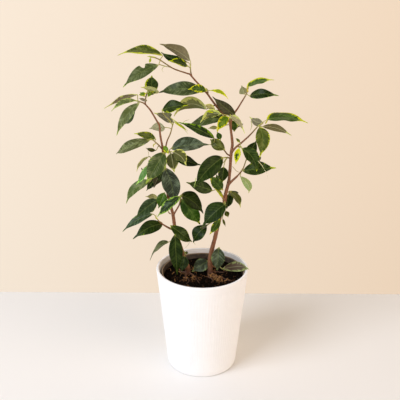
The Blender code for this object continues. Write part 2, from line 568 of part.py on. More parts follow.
def soil(feet):
    """Peat that fills the grow pot, with a low relief and a plain hole for each woody stem."""
    low = GROW_BASE_Z + GROW_WALL + 0.05
    band = GROW_RIM_Z - GROW_BAND_HEIGHT
    edge = grow_inside(SOIL_TOP) - 0.06
    profile = [(0.0, low), (GROW_BASE_RADIUS - 0.5, low), (grow_inside(low + 0.5) - 0.06, low + 0.5),
               (grow_inside(band) - 0.06, band), (edge, SOIL_TOP - 0.05)]
    profile += [(edge * ring, SOIL_TOP) for ring in SOIL_RINGS]
    profile.append((0.0, SOIL_TOP))
    peat = turned("soil", profile, SOIL_STEPS)
    for vertex in peat.data.vertices:
        if vertex.co.z / CM > SOIL_TOP - 0.01:
            vertex.co.z -= soil_dip(vertex.co.x / CM, vertex.co.y / CM) * CM
        vertex.co.x += GROW_SHIFT * CM
    holes = []
    for foot, radius in feet:
        x, y = foot.x / CM, foot.y / CM
        holes.append(drum("hole", x, y, SOIL_HOLE_BOTTOM, SOIL_TOP + 1.0, radius / CM + 0.03, 16))
    peat = boolean(peat, "DIFFERENCE", holes)
    return finish(peat, "soil", PEAT_BLACK, 40)


def wood_points(drafted):
    """Real points and radii of a drafted woody stem."""
    points = [seen(x, z, depth) for x, z, depth, _ in drafted]
    return points, [radius * MM for _, _, _, radius in drafted]


def swollen_tube(name, points, radii, swell, resolution):
    """A tube grown by an amount in metres, both round it and past its far end."""
    points[-1] = points[-1] + (points[-1] - points[-2]).normalized() * swell
    return tube(name, points, [radius + swell for radius in radii], resolution)


def trunk_tube(trunk, swell):
    """The trunk down to its foot in the soil."""
    points, radii = wood_points(trunk)
    foot = points[0]
    below = [Vector((foot.x, foot.y, STEM_FOOT_Z * CM)), Vector((foot.x, foot.y, (SOIL_TOP + 0.1) * CM))]
    return swollen_tube("trunk", below + points, [radii[0]] * 2 + radii, swell, 2)


def branch_tubes(branches, swell):
    """The side branches, each from the middle of the trunk."""
    tubes = []
    for branch in branches:
        points, radii = wood_points(branch)
        tubes.append(swollen_tube("branch", points, radii, swell, 1))
    return tubes


def root_tubes(roots, foot_radius):
    """Roots that run over the soil and taper to a point, a gap above its highest level."""
    tubes = []
    for route, thick in roots:
        count = len(route)
        radii = [thick * MM * (1.0 - 0.75 * i / (count - 1)) for i in range(count)]
        points = []
        for (x, y), radius in zip(route, radii):
            points.append(Vector((x * CM, y * CM, SOIL_TOP * CM + GAP + radius)))
        points[0].z += foot_radius * 0.4
        tubes.append(tube("root", points, radii, 0))
    return tubes


def woody_stem(name, trunk, branches, roots):
    """One woody plant: its trunk, forks and surface roots in one solid."""
    stem = trunk_tube(trunk, 0.0)
    stem = boolean(stem, "UNION", branch_tubes(branches, 0.0) + root_tubes(roots, trunk[0][3] * MM))
    return finish(stem, name, BARK_BROWN, 40)


def wood_sleeve(trunk, branches):
    """The woody plant swollen by the gap, which cuts each spray's seat."""
    return boolean(trunk_tube(trunk, GAP), "UNION", branch_tubes(branches, GAP))


def outline(share):
    """Half width of a blade at a share of its length, 1 at its widest; it ends in a drip tip."""
    body = max(0.0, math.sin(math.pi * min(1.0, share / BLADE_END) ** BLADE_LEAN)) ** BLADE_FULLNESS
    tail = TAIL_WIDTH * math.sqrt((1.0 - share) / (1.0 - TAIL_START))
    if share < TAIL_START:
        return body
    return min(max(body, tail), 1.0)


def blade_axes(base, tip, roll):
    """Length direction, side direction and upper normal of a blade."""
    along = (tip - base).normalized()
    to_eye = (EYE - (base + tip) / 2).normalized()
    face = (to_eye - along * to_eye.dot(along)).normalized()
    across = along.cross(face)
    turn = math.radians(roll)
    upper = face * math.cos(turn) + across * math.sin(turn)
    return along, upper.cross(along), upper


def midrib(base, tip, bend, share):
    """Point on the midrib: the straight line from base to tip, pushed out by a parabola along bend."""
    return base.lerp(tip, share) + bend * 4.0 * share * (1.0 - share)


def nearest_on(routes, point):
    """Nearest place to a point on any of the routes, short of their very ends."""
    best = None
    for route in routes:
        for start, end in zip(route, route[1:]):
            run = end - start
            share = max(0.0, min(STALK_LAST, (point - start).dot(run) / run.length_squared))
            place = start + run * share
            if best is None or (place - point).length < (best - point).length:
                best = place
    return best


def leaf_rows(leaf, routes):
    """Rows of (middle, half-width vector, fold vector) from the stalk's root on its shoot to the tip."""
    base_at, tip_at, roll, width, bow, sweep = leaf
    base, tip = seen(*base_at), seen(*tip_at)
    along, side, upper = blade_axes(base, tip, roll)
    bend = (upper * bow + side * sweep) * (tip - base).length
    start = nearest_on([route[1:] for route in routes], base)
    turn = along.rotation_difference(base - start)
    rows = [(start, turn @ side * STALK_RADIUS, turn @ upper * STALK_RADIUS * BLADE_FOLD)]
    coarse = width < SMALL_WIDTH or tip_at[2] > AWAY_DEPTH
    for share in SMALL_STATIONS if coarse else BLADE_STATIONS:
        half = width * CM / 2 * outline(share)
        if share == 0.0:
            half = STALK_RADIUS
        rows.append((midrib(base, tip, bend, share), side * half, upper * half * BLADE_FOLD))
    return rows


def leaf_solid(leaf, routes):
    """One leaf: a grid bent into its stalk and blade, and given its thickness."""
    rows = leaf_rows(leaf, routes)
    mesh = bpy.data.meshes.new("leaf")
    bm = bmesh.new()
    bmesh.ops.create_grid(bm, x_segments=len(rows) - 1, y_segments=2, size=1.0)
    for vertex in bm.verts:
        middle, half, fold = rows[round((vertex.co.x + 1.0) / 2.0 * (len(rows) - 1))]
        across = round(vertex.co.y)
        vertex.co = middle + half * across + fold * abs(across)
    bmesh.ops.remove_doubles(bm, verts=bm.verts, dist=0.00001)
    bmesh.ops.triangulate(bm, faces=bm.faces)
    bm.to_mesh(mesh)
    bm.free()
    piece = object_from(mesh, "leaf")
    solidify = piece.modifiers.new("thickness", "SOLIDIFY")
    solidify.thickness = BLADE_THICKNESS
    solidify.offset = -1.0
    return baked(piece)


def leafy_spray(name, shoots, leaves, sleeves):
    """Young shoots with their leaves in one solid, seated on the wood.

    Where several thin blades meet, the exact solver leaves open edges, so both steps use the other one.
    """
    routes = [[seen(*point) for point in shoot] for shoot in shoots]
    pieces = []
    for route in routes:
        last = len(route) - 1
        radii = [SHOOT_RADIUS * (1.0 - SHOOT_TAPER * i / last) for i in range(last + 1)]
        pieces.append(tube("shoot", route, radii, 0))
    for leaf in leaves:
        pieces.append(leaf_solid(leaf, routes))
    spray = boolean(pieces[0], "UNION", pieces[1:], "MANIFOLD")
    copies = []
    for sleeve in sleeves:
        copies.append(object_from(sleeve.data.copy(), "sleeve"))
    spray = boolean(spray, "DIFFERENCE", copies, "MANIFOLD")
    return finish(spray, name, LEAF_GREEN, 50)


def build():
    """Clear the scene and model every piece."""
    for old in list(bpy.data.objects):
        bpy.data.objects.remove(old)
    parts = [cover_pot(), grow_pot()]
    feet = []
    for trunk in (LEFT_TRUNK, RIGHT_TRUNK):
        feet.append((seen(*trunk[0][:3]), trunk[0][3] * MM))
    parts.append(soil(feet))
    parts.append(woody_stem("left_stem", LEFT_TRUNK, LEFT_BRANCHES, LEFT_ROOTS))
    parts.append(woody_stem("right_stem", RIGHT_TRUNK, RIGHT_BRANCHES, RIGHT_ROOTS))
    sleeves = [wood_sleeve(LEFT_TRUNK, LEFT_BRANCHES), wood_sleeve(RIGHT_TRUNK, RIGHT_BRANCHES)]
    for name, (shoots, leaves) in SPRAYS.items():
        parts.append(leafy_spray(name, shoots, leaves, sleeves))
    for sleeve in sleeves:
        bpy.data.objects.remove(sleeve)
    plant = bpy.data.collections.new("potted_weeping_fig")
    bpy.context.scene.collection.children.link(plant)
    for part in parts:
        bpy.context.scene.collection.objects.unlink(part)
        plant.objects.link(part)


build()
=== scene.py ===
import json
import math

import bmesh
import bpy
import numpy as np
from mathutils import Matrix

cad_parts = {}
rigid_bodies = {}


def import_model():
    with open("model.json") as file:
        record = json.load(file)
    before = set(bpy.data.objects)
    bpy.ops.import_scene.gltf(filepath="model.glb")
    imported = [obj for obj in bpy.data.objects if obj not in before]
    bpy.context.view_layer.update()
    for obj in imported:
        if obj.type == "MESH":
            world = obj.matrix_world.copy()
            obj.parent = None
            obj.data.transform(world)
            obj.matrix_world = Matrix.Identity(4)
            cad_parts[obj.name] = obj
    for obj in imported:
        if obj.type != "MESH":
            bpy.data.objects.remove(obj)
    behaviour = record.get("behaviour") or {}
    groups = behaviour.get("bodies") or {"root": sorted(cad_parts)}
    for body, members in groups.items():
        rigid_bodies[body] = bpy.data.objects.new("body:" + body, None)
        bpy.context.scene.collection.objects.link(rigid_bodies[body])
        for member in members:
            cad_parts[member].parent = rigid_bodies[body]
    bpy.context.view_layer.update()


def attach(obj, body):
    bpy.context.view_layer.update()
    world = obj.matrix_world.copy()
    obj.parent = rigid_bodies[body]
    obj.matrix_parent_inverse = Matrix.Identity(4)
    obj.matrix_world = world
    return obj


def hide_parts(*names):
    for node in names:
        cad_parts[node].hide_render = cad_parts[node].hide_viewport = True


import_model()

# Potted weeping fig: white ribbed cover pot, nursery pot, peat, two woody stems and their leafy sprays.
# Metres, +Z up, origin on the pot's axis at the table. As in the solids, stems and leaves are drafted in
# a front view, in centimetres: x and z on the plane through the pot's axis, and the depth behind it.
CM = 0.01
MM = 0.001
# The eye that the front view is seen from, in centimetres
EYE = np.array((-0.4, -84.0, 57.7))
EYE_DISTANCE = -EYE[1]
dice = np.random.default_rng(41)

# The photo's camera: dip and roll in degrees, lens and sensor in mm, middle and focal length in pixels
CAMERA_DIP = 20.6
CAMERA_ROLL = 0.35
CAMERA_LENS = 57.2
SENSOR_WIDTH = 36.0
PHOTO_MIDDLE = 200.0
PHOTO_FOCUS = 635.5

# Cover pot, in centimetres; a groove's outline is a cosine raised to a power
POT_HEIGHT = 15.65
POT_RIM_RADIUS = 6.75
POT_BASE_RADIUS = 5.2
POT_WALL = 0.42
POT_FLOOR = 0.5
POT_RIBS = 96
STEPS_A_RIB = 12
RIB_DEPTH = 0.03
RIB_SHARPNESS = 1.6
RIB_LOW = 0.9
RIB_HIGH = 14.75

# Grow pot, in centimetres; it stands pushed to the right, and its rim is painted pale from one height up:
# a painted highlight where its rolled rim catches the light
GROW_SHIFT = 0.12
GROW_BASE_Z = 0.53
GROW_RIM_Z = 15.05
GROW_RIM_RADIUS = 6.1
GROW_BAND_RADIUS = 5.9
GROW_BASE_RADIUS = 4.35
GROW_WALL = 0.12
GROW_BAND_HEIGHT = 1.1
RIM_HIGHLIGHT_FROM_Z = 14.88
RIM_HIGHLIGHT_FULL_Z = 15.0
GROW_STEPS = 160
DRAIN_COUNT = 5
DRAIN_RADIUS = 0.5
DRAIN_CIRCLE = 2.7

# Soil, in centimetres, and the heights between which it stains the stems
SOIL_TOP = 14.3
SOIL_RELIEF = 0.12
SOIL_EDGE = 5.8
SOIL_FOOT_RADIUS = 3.9
STAIN_TOP_Z = 16.3
STAIN_FULL_Z = 14.4
SOIL_STEPS = 180
SOIL_ROWS = 60
STEM_FOOT_Z = 11.65
ROOTLET_POINTS = 26

# Layers of a spray: which of its materials a face has
UPPER_SIDE, UNDERSIDE, STALK = range(3)

# Leaves: stations across a blade from rim to rim, closer at the rims and at the midrib, then the same
# stations once round the blade, over its upper side (1) and back under it (-1)
HALF_ACROSS = np.array((0.08, 0.19, 0.34, 0.5, 0.65, 0.77, 0.87, 0.94, 0.985, 1.0))
ACROSS = np.concatenate([-HALF_ACROSS[::-1], (0.0,), HALF_ACROSS])
ROUND = np.concatenate([ACROSS[::-1], ACROSS[1:-1]])
FACING = np.concatenate([np.ones(len(ACROSS)), -np.ones(len(ACROSS) - 2)])
BLADE_ROWS = 44
STALK_ROWS = 12
STALK_RADIUS = 0.55 * MM
BLADE_HALF_THICKNESS = 0.19 * MM
BLADE_FOLD = 0.32
# The furthest share of a shoot's span at which a stalk may leave it
STALK_LAST = 0.9
# Outline of a blade: where its sine ends, the powers of its share and of its sine, and where its drip tip
# starts and how wide it is there
BLADE_END = 0.9
BLADE_LEAN = 0.86
BLADE_FULLNESS = 0.85
TAIL_START = 0.86
TAIL_WIDTH = 0.17
# Share of a blade over which its round stalk turns flat, and the roundness of the fold at the midrib
STALK_BLEND = 0.08
FOLD_ROUNDNESS = 0.02
# Midrib: its half width, its groove in the upper side and its ridge below, in metres
RIB_REACH = 0.55 * MM
RIB_GROOVE = 0.1 * MM
RIB_RIDGE = 0.38 * MM
# How far the side veins run towards the tip for each step away from the midrib
VEIN_SLANT = 0.85
# Share of the blade from which the margin widens towards the tip
TIP_MARGIN_START = 0.7
# Least and most of what differs from leaf to leaf: phase, number and size of the waves at the rims, cup,
# twist, seed of the patterns, and the step and height in mm of the quilting between side veins
LEAF_LEAST = (0.0, 1.2, 0.04, -0.25, -0.12, 0.0, 6.5, 0.12)
LEAF_MOST = (1.0, 2.2, 0.1, 0.0, 0.12, 100.0, 10.0, 0.3)
SHOOT_RADIUS = 1.05 * MM
SHOOT_TAPER = 0.3
SHOOT_SIDES = 10
SHOOT_NODE_SWELL = 0.12
BUD_LENGTH = 5.5 * MM
BUD_DROOP = 1.2 * MM
BUD_ROWS = 9
THREAD_SIDES = 8

# Wood: sides of its tubes, and the swelling of its nodes and of the collar of each fork, as shares
WOOD_SIDES = 24
ROOT_SIDES = 10
ROOTLET_SIDES = 7
WOOD_NODE_SWELL = 0.07
FORK_COLLAR = 0.35

# Upper sides: the ground green, the paler clouds on it and the colour of the margins, sRGB. The grey, slate
# and lead greens and their clouds are partly the leaves' own grey-green and partly painted sheen, greyed to
# stand in for the grey-blue sheen of leaves that face the light
UPPER_TONES = {
    "night": ("172603", "2f3f12", "6a8a0c"),
    "dark": ("213206", "3e4e1e", "a8b40c"),
    "grey": ("3c4822", "656e46", "8fa040"),
    "teal": ("26371a", "495d3e", "84a438"),
    "slate": ("363f2c", "66735a", "8a9c50"),
    "lead": ("4f5a2b", "7d8456", "9aa850"),
    "olive": ("434c14", "666b30", "b0b41c"),
    "green": ("304a08", "54702a", "c0c408"),
    "fresh": ("567406", "7f9030", "c4c208"),
    "mint": ("4c7c34", "749850", "9cc858"),
    "lime": ("8b9a04", "9fae20", "cccb10"),
    "umber": ("38341c", "4d4930", "7a7644"),
}
# Undersides: the ground colour, sRGB
UNDER_TONES = {
    "olive": "6f7343", "taupe": "7b7050", "pale": "b3b576", "sage": "858257", "straw": "a9a062",
    "tan": "9a8c64", "umber": "4a432c", "plum": "6b5a4a", "moss": "53572c",
    "reed": "8d9a5c", "mist": "b5b48c", "ash": "7a7458", "dun": "6e6742",
}
STALK_TONE = "a39b52"
# Tones and margins that most of the small leaves on the back side share
BACK_LEAF = ("dark", "olive", -1.5, -1.5, 1)

# Woody stems: (x, z, depth, radius in mm) from the soil up
RIGHT_TRUNK = (
    (1.15, 15.4, 0.5, 3.9), (1.13, 16.4, 0.5, 3.4), (1.22, 17.6, 0.5, 3.2), (1.42, 18.7, 0.5, 3.1),
    (1.72, 20.0, 0.45, 3.0), (1.95, 21.1, 0.4, 2.9), (2.17, 22.1, 0.4, 2.8), (2.5, 23.6, 0.35, 2.7),
    (2.85, 24.8, 0.3, 2.6), (3.08, 26.0, 0.3, 2.6), (3.22, 27.2, 0.35, 2.5), (3.45, 28.2, 0.4, 2.4),
    (3.62, 29.1, 0.5, 2.2), (3.7, 30.1, 0.55, 2.1), (3.76, 31.1, 0.6, 2.1), (3.8, 32.2, 0.65, 2.1),
    (3.87, 33.3, 0.7, 2.1), (3.98, 34.2, 0.75, 1.9), (3.9, 35.1, 0.8, 1.8), (3.75, 36.1, 0.8, 1.7),
    (3.6, 37.1, 0.8, 1.6), (3.3, 37.8, 0.75, 1.5), (2.7, 38.45, 0.65, 1.4), (2.1, 39.1, 0.6, 1.4),
    (1.6, 39.7, 0.5, 1.35), (1.0, 40.5, 0.4, 1.3), (0.5, 41.2, 0.3, 1.25), (-0.1, 41.85, 0.2, 1.2),
    (-0.7, 42.5, 0.1, 1.15), (-1.25, 43.1, 0.0, 1.1), (-1.85, 43.8, -0.2, 1.1),
)
RIGHT_BRANCHES = (
    ((3.62, 36.9, 0.8, 1.4), (3.8, 37.9, 1.1, 1.3), (4.2, 38.7, 1.2, 1.2), (4.6, 39.3, 1.3, 1.1),
     (5.0, 40.0, 1.4, 1.0)),
    ((3.9, 33.2, 0.7, 1.6), (4.5, 33.9, 0.5, 1.3), (5.2, 34.5, 0.2, 1.2), (6.1, 35.35, -0.2, 1.1)),
    ((3.55, 28.5, 0.45, 1.8), (4.2, 29.15, 0.3, 1.5), (4.8, 29.75, 0.1, 1.3)),
    ((3.1, 26.1, 0.3, 2.0), (2.75, 26.7, 0.1, 1.8), (2.4, 27.2, 0.0, 1.5)),
)
LEFT_TRUNK = (
    (-2.15, 15.4, 0.3, 3.6), (-2.45, 16.5, 0.3, 3.1), (-2.8, 17.6, 0.3, 2.9), (-3.05, 18.5, 0.3, 2.8),
    (-3.4, 19.6, 0.3, 2.7), (-3.75, 20.9, 0.3, 2.6), (-4.03, 22.2, 0.3, 2.5), (-4.15, 23.2, 0.3, 2.4),
    (-4.28, 24.1, 0.3, 2.3), (-4.5, 25.0, 0.3, 2.1), (-4.8, 26.3, 0.35, 2.0), (-5.05, 27.8, 0.4, 1.9),
    (-5.25, 29.4, 0.45, 1.8), (-5.4, 31.0, 0.5, 1.7), (-5.5, 32.3, 0.45, 1.6), (-5.55, 33.3, 0.4, 1.5),
    (-5.65, 34.2, 0.35, 1.45), (-5.8, 35.1, 0.3, 1.4), (-5.9, 36.0, 0.25, 1.35),
    (-5.95, 36.85, 0.2, 1.3), (-6.35, 37.6, 0.1, 1.2), (-6.8, 38.4, -0.05, 1.1),
    (-7.2, 39.05, -0.2, 1.1), (-7.75, 39.7, -0.5, 1.0),
)
LEFT_BRANCHES = (
    ((-3.95, 21.5, 0.3, 1.7), (-4.7, 21.75, 0.0, 1.4), (-5.3, 22.1, -0.25, 1.2), (-5.9, 22.5, -0.45, 1.1)),
    ((-4.2, 23.8, 0.3, 1.3), (-3.85, 24.4, 0.15, 1.1), (-3.35, 25.3, 0.0, 1.0)),
    ((-5.5, 32.8, 0.44, 1.5), (-5.33, 33.4, 0.53, 1.3), (-5.1, 34.0, 0.6, 1.2)),
)

# Patterns on the pots, the peat and the litter, by the size in metres of what they draw. The grain of the
# litter is drawn as coarse as it needs to be to show.
GLAZE_POOL = 11.11 * MM
DUST_PATCH = 7.143 * MM
PEAT_CRUMB = 2.381 * MM
PEAT_FIBRE = 1.923 * MM
LITTER_GRAIN = 1.111 * MM

# Patterns on painted places in mm, by their size across, along and from seed to seed on leaves and stalks,
# and round and along on bark. VEIN_STEP is half the distance between two side veins.
LEAF_STREAK = (1.613, 9.091, 1.0)
LEAF_BLOTCH = (6.25, 10.0, 1.0)
STALK_LINE = (0.7143, 3.333, 1.0)
BARK_CRACK = (0.909, 0.909, 4.132)
BARK_PORE = (1.613, 1.613, 1.3333)
BARK_BLOTCH = 6.25
VEIN_STEP = 2.6

# Surface roots on the soil: real x, y in cm along each root, then its radius in mm at its thick end
RIGHT_ROOTS = (
    (((1.2, 0.4), (1.9, -0.5), (2.9, -0.9), (3.7, -1.7), (4.4, -1.9)), 1.6),
    (((1.2, 0.4), (0.9, -0.6), (1.5, -1.5), (1.3, -2.5)), 1.4),
    (((1.2, 0.4), (2.2, 0.9), (3.1, 0.8), (3.9, 1.6)), 1.3),
)
LEFT_ROOTS = (
    (((-2.1, 0.2), (-2.5, -0.9), (-1.9, -1.8), (-2.3, -2.9)), 1.5),
    (((-2.1, 0.2), (-1.2, -0.5), (-0.8, -1.6), (-0.4, -2.6)), 1.5),
    (((-2.1, 0.2), (-3.1, 0.9), (-3.5, 2.0)), 1.3),
)

